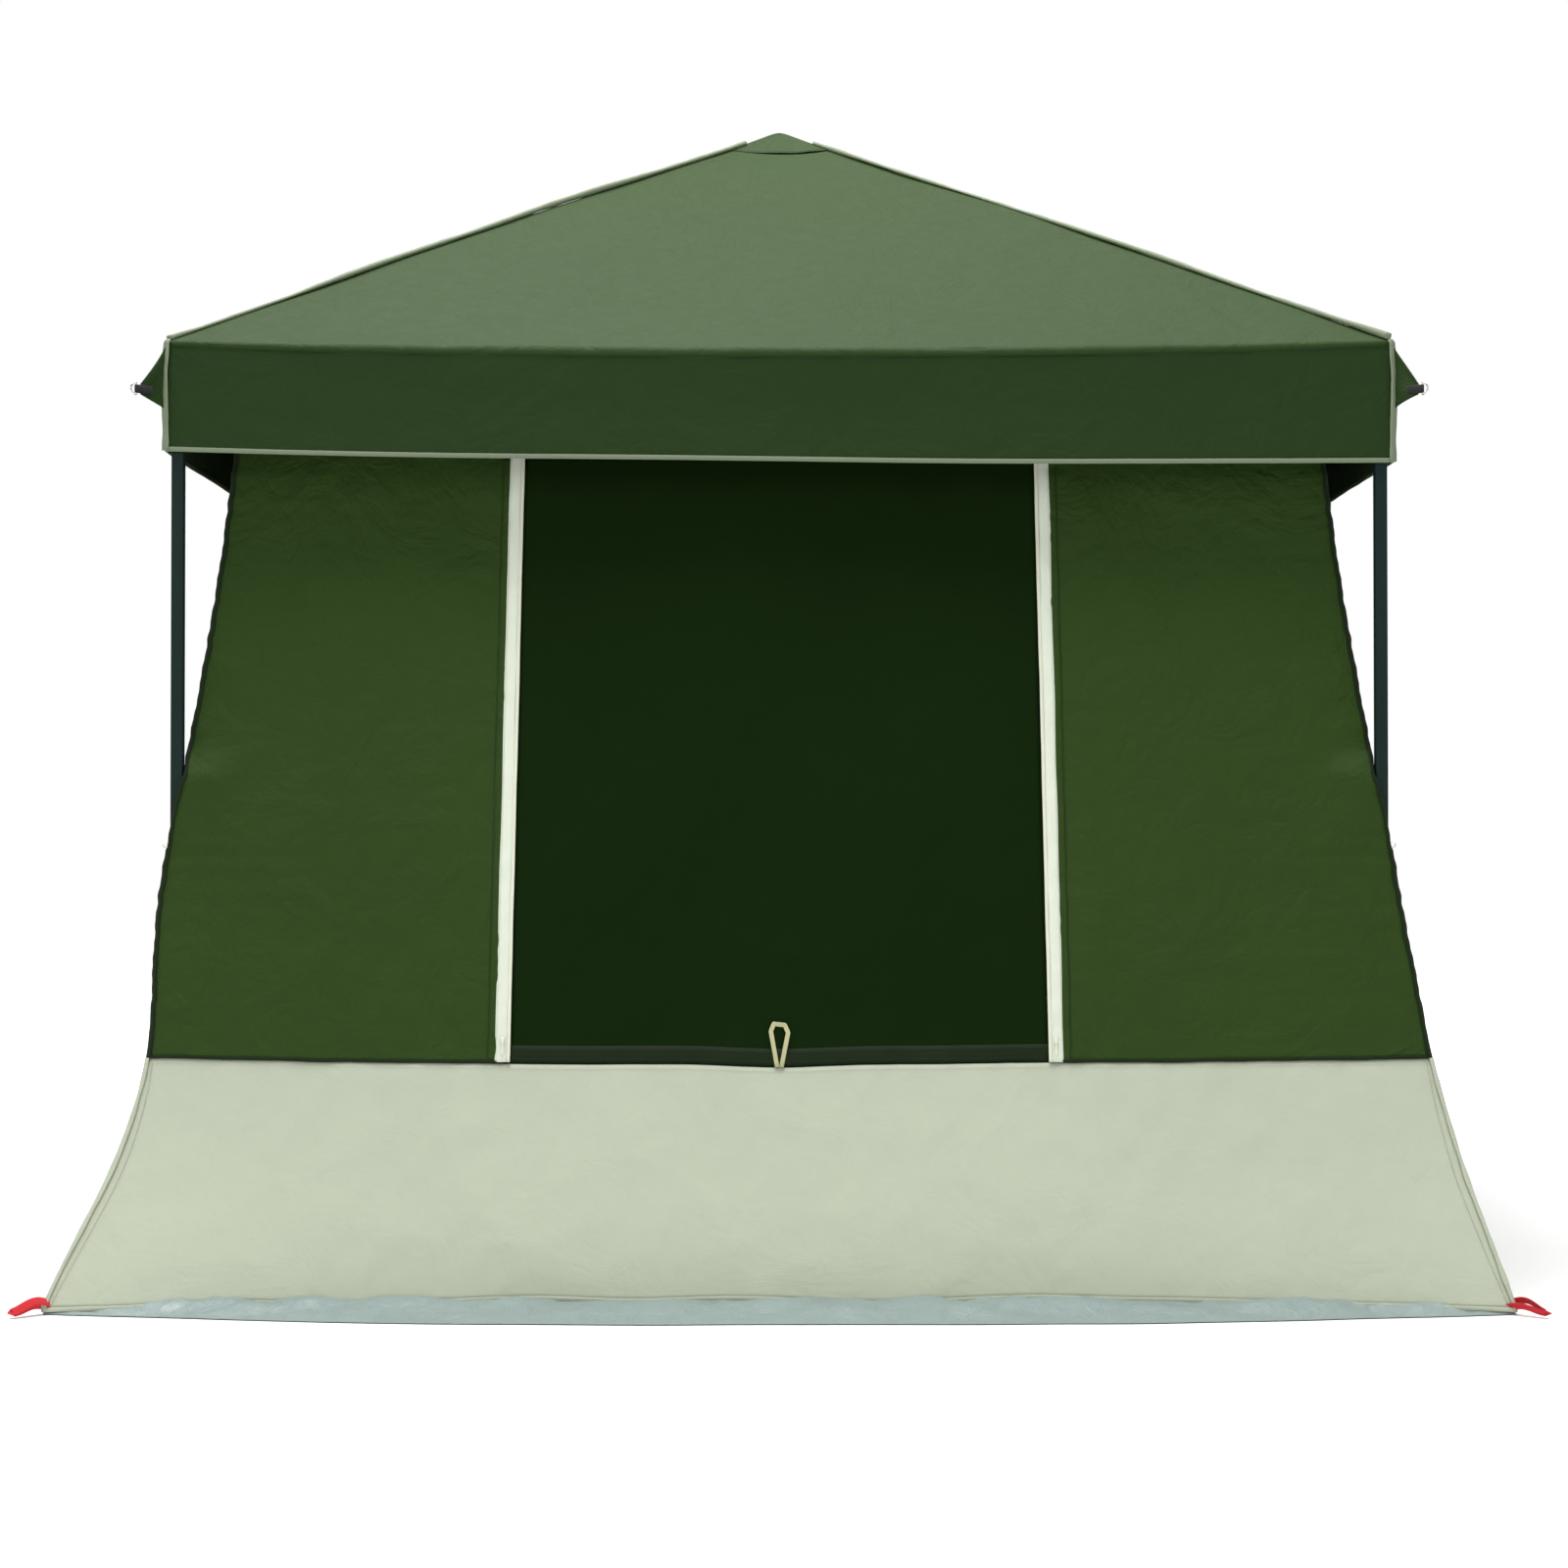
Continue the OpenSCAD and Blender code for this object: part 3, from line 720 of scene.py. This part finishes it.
def guy_point(k, end):
    """Gusset, webbing eye and D ring at a corner of the canopy."""
    corner = corner_at(k, end)
    lo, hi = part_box("guy_ring_" + corner)
    centre = (lo + hi) / 2
    out = Vector((centre.x, centre.y, 0)).normalized()
    side = np.array((-out.y, out.x, 0))
    out = np.array(out)
    # distance of the ring's straight bar from the middle of the canopy
    bar = (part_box("guy_tabs_front")[1].x - 0.005) * math.sqrt(2)
    tab = guy_gusset(corner, out, side, bar, centre.z)
    web = guy_webbing(corner, out, side, bar, centre.z)
    ring = guy_d_ring(corner, out, side, bar, centre.z)
    row = "front" if corner.startswith("front") else "rear"
    to_canopy(tab, "valance_" + row)
    to_canopy(web, "valance_" + row)
    to_canopy(ring, "guy_ring_" + corner)
    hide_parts("guy_tabs_" + row)
    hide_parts("guy_ring_" + corner)


def guy_gusset(corner, out, side, bar, ring_z):
    S, H = np.meshgrid(np.linspace(0, 1, 16), np.linspace(-1, 1, 17))
    root = OUTER * math.sqrt(2) + 0.002
    top, low = EAVE_Z - 0.006, EAVE_Z - 0.168
    top = top + (ring_z + 0.013 - top) * S ** 0.9
    low = low + (ring_z - 0.013 - low) * S ** 0.8
    z = (top + low) / 2 + (top - low) / 2 * H
    r = root + (bar - 0.012 - root) * S
    curl = 0.004 * np.sin(math.pi * S) * np.sin(H * 2.2)
    points = r[..., None] * out + curl[..., None] * side
    points[..., 2] = z
    return sheet("guy_gusset_" + corner, points, (r, z), M["valance"], 0.0022)


def guy_webbing(corner, out, side, bar, ring_z):
    """Webbing up one face of the gusset, round the ring's bar and back."""
    eye = 0.0034
    turn = np.linspace(-math.pi / 2, math.pi / 2, 12)
    flat = np.linspace(0.045, 0.0, 8)[:-1]
    outline = ([(bar - x, -eye) for x in flat]
               + [(bar + eye * math.cos(t), eye * math.sin(t)) for t in turn]
               + [(bar - x, eye) for x in flat[::-1]])
    path = np.array([out * r + side * q for r, q in outline]) + np.array((0, 0, ring_z))
    normal = np.cross(np.gradient(path, axis=0), (0, 0, 1))
    return sweep("guy_webbing_" + corner, path, normal, 0.020, 0.0014, M["black_web"], 8, 6)


def guy_d_ring(corner, out, side, bar, ring_z):
    r = 0.015
    bend = np.linspace(-math.pi / 2, math.pi / 2, 28)
    bow = [out * (bar + r * math.cos(t)) + np.array((0, 0, r * math.sin(t))) for t in bend]
    straight = [out * bar + np.array((0, 0, r - x)) for x in np.linspace(0, 2 * r, 12)[1:-1]]
    loop = np.array(bow + straight) + np.array((0, 0, ring_z))
    return ring_mesh("guy_d_ring_" + corner, loop, side, 0.002, M["steel"])


def ring_mesh(name, loop, normal, r, material, sides=10):
    """A closed loop of round wire lying in the plane with that normal."""
    n = len(loop)
    along = np.roll(loop, -1, 0) - np.roll(loop, 1, 0)
    along /= np.linalg.norm(along, axis=1)[:, None]
    across = np.cross(along, normal)
    t = np.arange(sides) * 2 * math.pi / sides
    verts = (loop[:, None] + across[:, None] * np.cos(t)[None, :, None] * r
             + normal[None, None] * np.sin(t)[None, :, None] * r)
    index = np.arange(n * sides).reshape(n, sides)
    down, right = np.roll(index, -1, 0), np.roll(index, -1, 1)
    both = np.roll(down, -1, 1)
    quads = np.stack([index, right, both, down], -1).reshape(-1, 4)
    return new_object(name, verts.reshape(-1, 3), quads, material)


# ---- room ----

def to_room(piece):
    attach(piece, "room")
    lies_down(piece)
    return piece


def room_points(k, a, z, out=0.0):
    """Points on the room's cloth. The front left corner hangs further in than the
    right one, up to a metre above the ground."""
    points = place(k, a, room_out(k, a, z) + out, z)
    x, y = points[..., 0], points[..., 1]
    slump = np.sin(math.pi * np.clip(z, 0, 1)) ** 1.5
    slump = slump * ease(-y, 0.3, 1.3) * ease(np.abs(x), 0.75, 1.45)
    points[..., 0] = x + np.where(x < 0, 0.040, 0.012) * slump
    return points


def wall_panel(k, end):
    """Green cloth between a zip and a corner, from the seam up to the roof."""
    name = "%s_%s" % (SIDES[k], hand(end))
    S, T = np.meshgrid(np.linspace(0, 1, 72) ** 0.8, np.linspace(0, 1, 150))
    z = seam_at(1.1) * (1 - T) + WALL_TOP * T
    inner = zip_line(z)
    a = inner + (corner_limit(k, z) - inner) * S
    z = seam_height(a * end) * (1 - T) + WALL_TOP * T
    points, uv = facing_out(end, room_points(k, a * end, z), a * end, z)
    piece = sheet("wall_cloth_" + name, points, uv, M["wall"])
    to_room(piece)
    if end > 0:
        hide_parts("wall_" + SIDES[k])
    wall_edge(k, end)
    wall_facing(k, end, name)
    wall_hem(k, end, name)


def wall_edge(k, end):
    """Bound edge of the wall at the corner."""
    z = np.linspace(seam_at(SEAM_HALF), WALL_TOP - 0.006, 180)
    path = room_points(k, (corner_limit(k, z) - 0.003) * end, z, 0.001)
    out = outward(k, z, 0.6 * end, 0.8)
    width = 0.011 + 0.003 * rough(z * 14, 0, 121 + k + end)
    name = "wall_edge_%s_%s" % (SIDES[k], corner_at(k, end))
    to_room(sweep(name, path, out, width, 0.005, M["hem"]))


def wall_facing(k, end, name):
    """Facing beside the zip, with two rows of stitching."""
    z = np.linspace(seam_at(0.68) + 0.004, HINGE_Z - 0.004, 170)
    F, Z = np.meshgrid(np.linspace(0.012, 0.036, 5), z)
    lift = 0.0016 * np.sin(math.pi * (F - 0.012) / 0.024) + 0.0008
    lift = lift + 0.0012 * rough(Z * 30, F * 20, 113 + k + end)
    points = room_points(k, (zip_line(Z) + F) * end, Z, lift)
    points, uv = facing_out(end, points, F, Z)
    to_room(sheet("wall_facing_" + name, points, uv, M["wall"]))
    for i, off in enumerate((0.032, 0.0375)):
        row = room_points(k, (zip_line(z) + off) * end, z, 0.0012)
        stitch = stitches("wall_stitch_%s_%d" % (name, i), row, outward(k, z),
                          M["dark_thread"])
        to_room(stitch)


def wall_hem(k, end, name):
    """Rolled seam where the wall meets the skirt."""
    a = np.linspace(ZIP_X + 0.012, SEAM_HALF - 0.003, 130) * end
    z = seam_height(a) + 0.003 + 0.0015 * rough(a * 12, 0, 117 + k)
    width = 0.0075 + 0.002 * rough(a * 9, 0, 119 + k)
    seam = sweep("wall_hem_" + name, room_points(k, a, z, 0.001), outward(k, a), width,
                 0.005, M["hem"])
    to_room(seam)


def wall_head(k):
    """The strip of wall over the zipped panel."""
    a = np.linspace(-1, 1, 101) * (zip_line(HINGE_Z) - 0.001)
    z = np.linspace(HINGE_Z + 0.005, WALL_TOP, 24)
    A, Z = np.meshgrid(a, z)
    piece = sheet("wall_head_" + SIDES[k], room_points(k, A, Z), (A, Z), M["wall"])
    to_room(piece)


def panel_sill(k):
    """Dark band behind the panel's lower hem, which the zips close on to."""
    a = np.linspace(-1, 1, 111) * zip_line(SEAM_Z)
    A, U = np.meshgrid(a, np.linspace(-0.001, 0.019, 4))
    piece = sheet("panel_sill_" + SIDES[k], room_points(k, A, seam_height(A) + U, -0.006),
                  (A, U), M["hem"])
    to_room(piece)


def panel_limit(z):
    return zip_line(z) - 0.0205


def panel_points(k, a, z, out=0.0):
    """Points on a zipped panel, which lies just inside the wall's face."""
    return room_points(k, a, z, out - 0.0015)


def zipped_panel(k):
    """The net panel, its hem, cord and webbing arch, which swing together."""
    low = SEAM_Z + 0.005
    U, T = np.meshgrid(np.linspace(-1, 1, 111), np.linspace(0, 1, 130))
    z = low + (HINGE_Z - low) * T
    a = U * panel_limit(z)
    z = z + (seam_height(a) - SEAM_Z) * (1 - T)
    net = sheet("panel_net_" + SIDES[k], panel_points(k, a, z), (a, z), M["screen"])
    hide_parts(PANELS[k])
    pieces = [net, panel_cord(k)] + panel_hem(k, low)
    if k == REAR:
        pieces.append(door_skirt(k))
    for piece in pieces:
        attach(piece, "panel_" + SIDES[k])
        lies_down(piece)


def panel_cord(k):
    """The cord in the top hem that the panel swings about."""
    a = np.linspace(-1, 1, 60) * panel_limit(HINGE_Z)
    path = panel_points(k, a, HINGE_Z + 0 * a)
    return sweep("panel_cord_" + SIDES[k], path, outward(k, a), 0.008, 0.005, M["hem"])


def panel_hem(k, low):
    """Turned hem in darker cloth, with two rows of stitching and the webbing arch."""
    depth = 0.040
    a = np.linspace(-1, 1, 160) * panel_limit(low)
    z = seam_height(a) + low - SEAM_Z
    A, R = np.meshgrid(a, np.linspace(0.0, depth, 5))
    puff = 0.0022 * np.sin(math.pi * R / depth)
    pieces = [sheet("panel_hem_" + SIDES[k], panel_points(k, A, z + R, 0.0016 + puff),
                    (A, R), M["hem"])]
    for i, up in enumerate((0.008, 0.032)):
        row = panel_points(k, a, z + up, 0.0045)
        pieces.append(stitches("panel_stitch_%s_%d" % (SIDES[k], i), row, outward(k, a),
                               M["dark_thread"]))
    pieces.append(tie_loop(k, z[len(z) // 2]))
    return pieces


def tie_loop(k, low_z):
    """Webbing arch: a narrow strap folded over on itself at the top."""
    height = 0.104
    corners = [(-0.005, 0.0), (-0.0205, 0.086), (-0.0135, height),
               (0.0135, height - 0.003), (0.0215, 0.083), (0.005, 0.0)]
    fine = []
    for (x0, y0), (x1, y1) in zip(corners[:-1], corners[1:]):
        for s in np.linspace(0, 1, 8)[:-1]:
            fine.append((x0 + (x1 - x0) * s, y0 + (y1 - y0) * s))
    fine.append(corners[-1])
    a = np.array([p[0] for p in fine])
    z = low_z - 0.004 + np.array([p[1] for p in fine])
    stand = 0.006 + 0.004 * np.sin(math.pi * (z - low_z) / height)
    path = panel_points(k, a, z, stand)
    return sweep("tie_loop_" + SIDES[k], path, outward(k, a), 0.011, 0.0022, M["tan"], 10,
                 5)


def door_skirt(k):
    """Lower, solid part of the door, down to the sill."""
    U, T = np.meshgrid(np.linspace(-1, 1, 111), np.linspace(0, 1, 44))
    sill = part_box("door_rear")[0].z
    z = sill + (SEAM_Z + 0.006 - sill) * T
    a = U * panel_limit(z)
    z = z + (seam_height(a) - SEAM_Z) * T
    return sheet("door_skirt", panel_points(k, a, z, -0.0008), (a, z), M["skirt"])


def placket(k, end):
    """Cover strip over a zip: a puffed band with a whiter tape along its inner edge."""
    name = "%s_%s" % (SIDES[k], hand(end))
    low = SEAM_Z - 0.004 if k != REAR else 0.066
    z = np.linspace(low, HINGE_Z + 0.02, 170)
    S, Z = np.meshgrid(np.linspace(-1, 1, 9), z)
    puff = 0.0020 * (1 - S ** 2) + 0.0012 * rough(Z * 13, S * 0.6, 131 + k + end)
    shift = 0.0015 * rough(Z * 5, 0, 137 + k + end)
    a = (zip_line(Z) + 0.003 + 0.015 * S + shift) * end
    points = room_points(k, a, Z, 0.0030 + puff)
    points, uv = facing_out(end, points, a, Z)
    to_room(sheet("placket_" + name, points, uv, M["strip"]))
    out = outward(k, z)
    a = (zip_line(z) - 0.0145) * end + 0.0008 * rough(z * 7, 0, 139 + k)
    tape = sweep("zip_tape_" + name, room_points(k, a, z, 0.0042), out, 0.0085, 0.0034,
                 M["tape"])
    to_room(tape)
    row = room_points(k, (zip_line(z) + 0.0145) * end, z, 0.0052)
    stitch = stitches("placket_stitch_" + name, row, out, M["pale_thread"])
    to_room(stitch)


def zip_pull(k, end):
    """Slider body and hanging tab."""
    name = "%s_%s" % (SIDES[k], hand(end))
    low, high = (corner.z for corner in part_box("zip_pulls_" + SIDES[k]))
    x = zip_line(high) * end
    z = np.linspace(high - 0.018, high, 9)
    bell = 0.006 + 0.004 * np.sin(math.pi * (z - z[0]) / 0.018)
    body = sweep("zip_slider_" + name, room_points(k, np.full_like(z, x), z, 0.0072),
                 outward(k, z), bell + 0.002, bell * 0.55, M["pale"], 12, 3)
    z = np.linspace(low, high - 0.012, 14)    # the tab hangs over the body's lower part
    width = 0.0058 + 0.0016 * np.cos((z - low) / (z[-1] - low) * math.pi)
    tab = sweep("zip_tab_" + name, room_points(k, np.full_like(z, x), z, 0.0092),
                outward(k, z), width, 0.0018, M["pale"], 10, 4)
    for piece in (body, tab):
        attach(piece, "zip_pulls_" + SIDES[k])
        lies_down(piece)
    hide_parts("zip_pulls_" + SIDES[k])


def skirt_foot(k, u):
    """Height of the skirt's lower edge, which rides up over the floor's rim."""
    rise = 0.024 * (1 - np.abs(u) ** 3)
    return 0.010 + rise + 0.008 * rough(u * 4.5, 0, 151 + k) * (1 - u ** 6)


def skirt_side(k):
    """Pale solid skirt below the seam; the rear one leaves room for the door."""
    if k == REAR:
        skirt_span(k, -1, 0, "skirt_rear_left")
        skirt_span(k, 0, 1, "skirt_rear_right")
        door_sill()
    else:
        skirt_span(k, -1, 1, "skirt_" + SIDES[k])
    for end in (-1, 1):
        skirt_edge(k, end)


def skirt_span(k, s0, s1, name):
    """Skirt from corner to corner or, at the rear, from a corner to the door, with its
    top stitching and its rolled foot."""
    def across(s, z):
        if k != REAR:
            return s * edge(z)
        return np.where(s0 < 0, -1, 1) * (DOOR_HALF + (edge(z) - DOOR_HALF) * np.abs(s))

    s = np.linspace(s0, s1, int(120 * (s1 - s0)) + 8)
    S, T = np.meshgrid(s, np.linspace(0, 1, 46))
    low = skirt_foot(k, S)
    z = low + (seam_height(across(S, SEAM_Z)) - 0.0005 - low) * T
    a = across(S, z)
    piece = sheet(name, room_points(k, a, z, -0.0004), (a, z), M["skirt"])
    to_room(piece)
    if k == 0:
        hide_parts("skirt", "zip_plackets")
    out = outward(k, s)
    z = seam_height(across(s, SEAM_Z)) - 0.010
    stitch = stitches(name + "_stitch", room_points(k, across(s, z), z, 0.0006), out,
                      M["pale_thread"])
    to_room(stitch)
    z = skirt_foot(k, s)
    roll = sweep(name + "_foot", room_points(k, across(s, z), z, 0.0010), out, 0.011, 0.005,
                 M["skirt"])
    to_room(roll)


def skirt_edge(k, end):
    """Rolled seam at the skirt's corner, and its row of stitching."""
    name = "%s_%s" % (SIDES[k], corner_at(k, end))
    z = np.linspace(0.012, seam_at(SEAM_HALF), 90)
    path = room_points(k, edge(z) * end, z, 0.0012)
    out = outward(k, z, 0.5 * end, 0.85)
    width = 0.012 + 0.004 * rough(z * 18, 0, 157 + k + end)
    roll = sweep("skirt_edge_" + name, path, out, width, 0.0065, M["skirt"])
    to_room(roll)
    inset = 0.014 + 0.012 * np.sin(math.pi * z / SEAM_Z)
    row = room_points(k, (edge(z) - inset) * end, z, 0.0008)
    stitch = stitches("skirt_edge_stitch_" + name, row, outward(k, z), M["pale_thread"],
                      r=0.0012)
    to_room(stitch)


def door_sill():
    """The strip of skirt left below the door."""
    a = np.linspace(-1, 1, 90) * (DOOR_HALF + 0.008)
    z = np.linspace(0.014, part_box("door_rear")[0].z - 0.004, 8)
    A, Z = np.meshgrid(a, z)
    piece = sheet("door_sill", room_points(REAR, A, Z, -0.0004), (A, Z), M["skirt"])
    to_room(piece)


def seam_tab(k, end):
    """Small white tie sewn into the corner seam where the leg comes in."""
    corner = corner_at(k, end)
    tie_z = PORT_Z + 0.013
    turn = np.linspace(-1.9, 1.9, 15)
    r = 0.006
    reach = edge(tie_z) + 0.004 + r * np.cos(turn)
    path = place(k, end * reach, reach, tie_z + r * np.sin(turn))
    normal = place(k, end * np.cos(turn), np.cos(turn), np.sin(turn) * 1.4)
    piece = sweep("leg_tie_" + corner, path, normal, 0.009, 0.0014, M["white_web"], 8, 5)
    to_room(piece)


def floor_reach(k, a):
    """Outward reach of the floor along side k."""
    bow = (0.164, 0.080, 0.085, 0.075)[k]
    t = np.clip(np.abs(a) / BASE, 0, 1)
    wave = 0.010 * rough(a * 3.2, 0, 163 + k) * (1 - t ** 6)
    return BASE + 0.008 + bow * (1 - t ** 2.4) + wave


def floor_height(a, d, reach, k):
    """Flat inside; under the skirt the sheet rises to a soft rim and falls to ground."""
    start = BASE - 0.10
    t = np.clip((d - start) / (reach - start), 0, 1)
    rim = 0.035 * np.sin(math.pi * t ** 0.75) ** 1.4
    crinkle = rough(a * 9, d * 14, 167 + k) * 0.008 + rough(a * 26, d * 24, 171 + k) * 0.0045
    return 0.0012 + rim + crinkle * np.sin(math.pi * t) ** 0.8


def floor():
    """One sheet, finer towards its rim, that reaches a little out under the skirts."""
    p = spread(200, 1.7)
    P, Q = np.meshgrid(p, p)
    front = floor_reach(0, P * BASE)
    rear = floor_reach(2, -P * BASE)
    right = floor_reach(1, Q * BASE)
    left = floor_reach(3, -Q * BASE)
    X = P * np.where(P > 0, right, left)
    Y = Q * np.where(Q > 0, rear, front)
    hx = floor_height(Y, np.abs(X), np.where(P > 0, right, left), 1)
    hy = floor_height(X, np.abs(Y), np.where(Q > 0, rear, front), 0)
    near_x = np.abs(P) > np.abs(Q)
    Z = np.where(near_x, hx, hy)
    blend = ease(np.abs(np.abs(P) - np.abs(Q)), 0.0, 0.03)
    Z = Z * blend + np.minimum(hx, hy) * (1 - blend)
    piece = sheet("floor_sheet", np.stack([X, Y, Z], -1), (X, Y), M["floor"], 0.0009)
    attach(piece, "room")
    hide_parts("groundsheet")


def peg_loop(corner):
    """Red webbing folded into a leaf-shaped loop, lying on the ground."""
    sx = 1 if "right" in corner else -1
    sy = 1 if "rear" in corner else -1
    out = np.array((sx, sy, 0)) / math.sqrt(2)
    side = np.array((-out[1], out[0], 0))
    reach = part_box("stake_loops")[1].x * math.sqrt(2) - 0.006
    start = reach - 0.135
    s = np.linspace(0, 1, 30)
    half_gap = 0.007 * np.sin(math.pi * s ** 0.8) ** 1.2
    lift = 0.012 + 0.016 * np.sin(math.pi * s) ** 2
    legs = []
    for sign in (1, -1):
        leg = (out * (start + (reach - start) * s[:, None])
               + side * sign * (half_gap + 0.0012)[:, None])
        leg[:, 2] = lift + sign * 0.006 * np.sin(math.pi * s)
        legs.append(leg)
    path = np.concatenate([legs[0], legs[1][::-1][1:]])
    piece = sweep("peg_loop_" + corner, path, side + np.array((0, 0, 0.8)) + 0 * path,
                  0.022, 0.0022, M["red"], 10, 5)
    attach(piece, "room")
    if corner == "front_left":
        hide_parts("stake_loops")


# ---- build ----

for k in range(4):
    canopy_side(k)
    peak_patch(k)
    wall_head(k)
    if k != REAR:
        panel_sill(k)
    zipped_panel(k)
    skirt_side(k)
    for end in (-1, 1):
        wall_panel(k, end)
        placket(k, end)
        zip_pull(k, end)
for k in (0, 2):
    for end in (-1, 1):
        hip_binding(k, end)
        corner_binding(k, end)
        guy_point(k, end)
        seam_tab(k, end)
floor()
for corner in PLUS_END:
    peg_loop(corner)

dress("hub", "black")
for kind, material in (
        ("inner_arm", "enamel"), ("outer_arm", "enamel"), ("corner_bracket", "black"),
        ("upper_leg", "enamel"), ("leg_collar", "ivory"), ("release_button", "grey"),
        ("lower_leg", "enamel")):
    for corner in PLUS_END:
        dress(kind + "_" + corner, material)


# ---- studio ----

def studio():
    bpy.ops.mesh.primitive_plane_add(size=60, location=(0, 0, -0.002))
    ground = bpy.context.object
    ground.name = "studio_floor"
    n = Nodes("studio_floor")
    cloud = n.noise(n.coords("Object"), 0.4, 2)
    # white paper that runs off into the white background
    away = n.add("ShaderNodeVectorMath", {0: n.coords("Object")}, operation="LENGTH")
    far = n.add("ShaderNodeMapRange", {
        "Value": away.outputs["Value"], "From Min": 2.4, "From Max": 7.5},
        interpolation_type="SMOOTHSTEP").outputs["Result"]
    seen = n.add("ShaderNodeLightPath").outputs["Is Camera Ray"]
    ground.data.materials.append(n.finish(
        Base_Color=n.mix(cloud, (0.84, 0.84, 0.84, 1), (0.88, 0.88, 0.88, 1)),
        Roughness=0.9, Emission_Color=(1, 1, 1, 1),
        Emission_Strength=n.math("MULTIPLY", far, seen)))
    bpy.context.scene.view_settings.view_transform = "Standard"
    world = bpy.data.worlds.new("studio")
    bpy.context.scene.world = world
    world.use_nodes = True
    tree = world.node_tree
    background = tree.nodes["Background"]
    background.inputs["Color"].default_value = (1, 1, 1, 1)
    seen = tree.nodes.new("ShaderNodeLightPath").outputs["Is Camera Ray"]
    strength = tree.nodes.new("ShaderNodeMath")
    strength.operation = "MULTIPLY_ADD"
    tree.links.new(seen, strength.inputs[0])
    strength.inputs[1].default_value = 0.62
    strength.inputs[2].default_value = 0.38
    tree.links.new(strength.outputs[0], background.inputs["Strength"])
    for name, spot, aim, size, power in (
            ("top", (-0.6, -1.2, 9.5), (0, 0, 1), 7, 1750),
            ("key", (-6, -11, 5.0), (0, 0, 1.2), 5, 240),
            ("fill", (7, -10, 3.5), (0, 0, 1.2), 5, 130)):
        light = bpy.data.lights.new(name, "AREA")
        light.shape = "SQUARE"
        light.size = size
        light.energy = power
        obj = bpy.data.objects.new(name, light)
        bpy.context.scene.collection.objects.link(obj)
        obj.location = spot
        obj.rotation_euler = (Vector(aim) - Vector(spot)).to_track_quat("-Z", "Y").to_euler()


def camera():
    data = bpy.data.cameras.new("camera")
    cam = bpy.data.objects.new("camera", data)
    bpy.context.scene.collection.objects.link(cam)
    bpy.context.scene.camera = cam
    data.lens = 72
    data.sensor_width = 36
    data.shift_x = 0.003
    cam.location = (0, -9.21, 1.13)
    cam.rotation_euler = (math.radians(90 + 0.985), 0, 0)


studio()
camera()
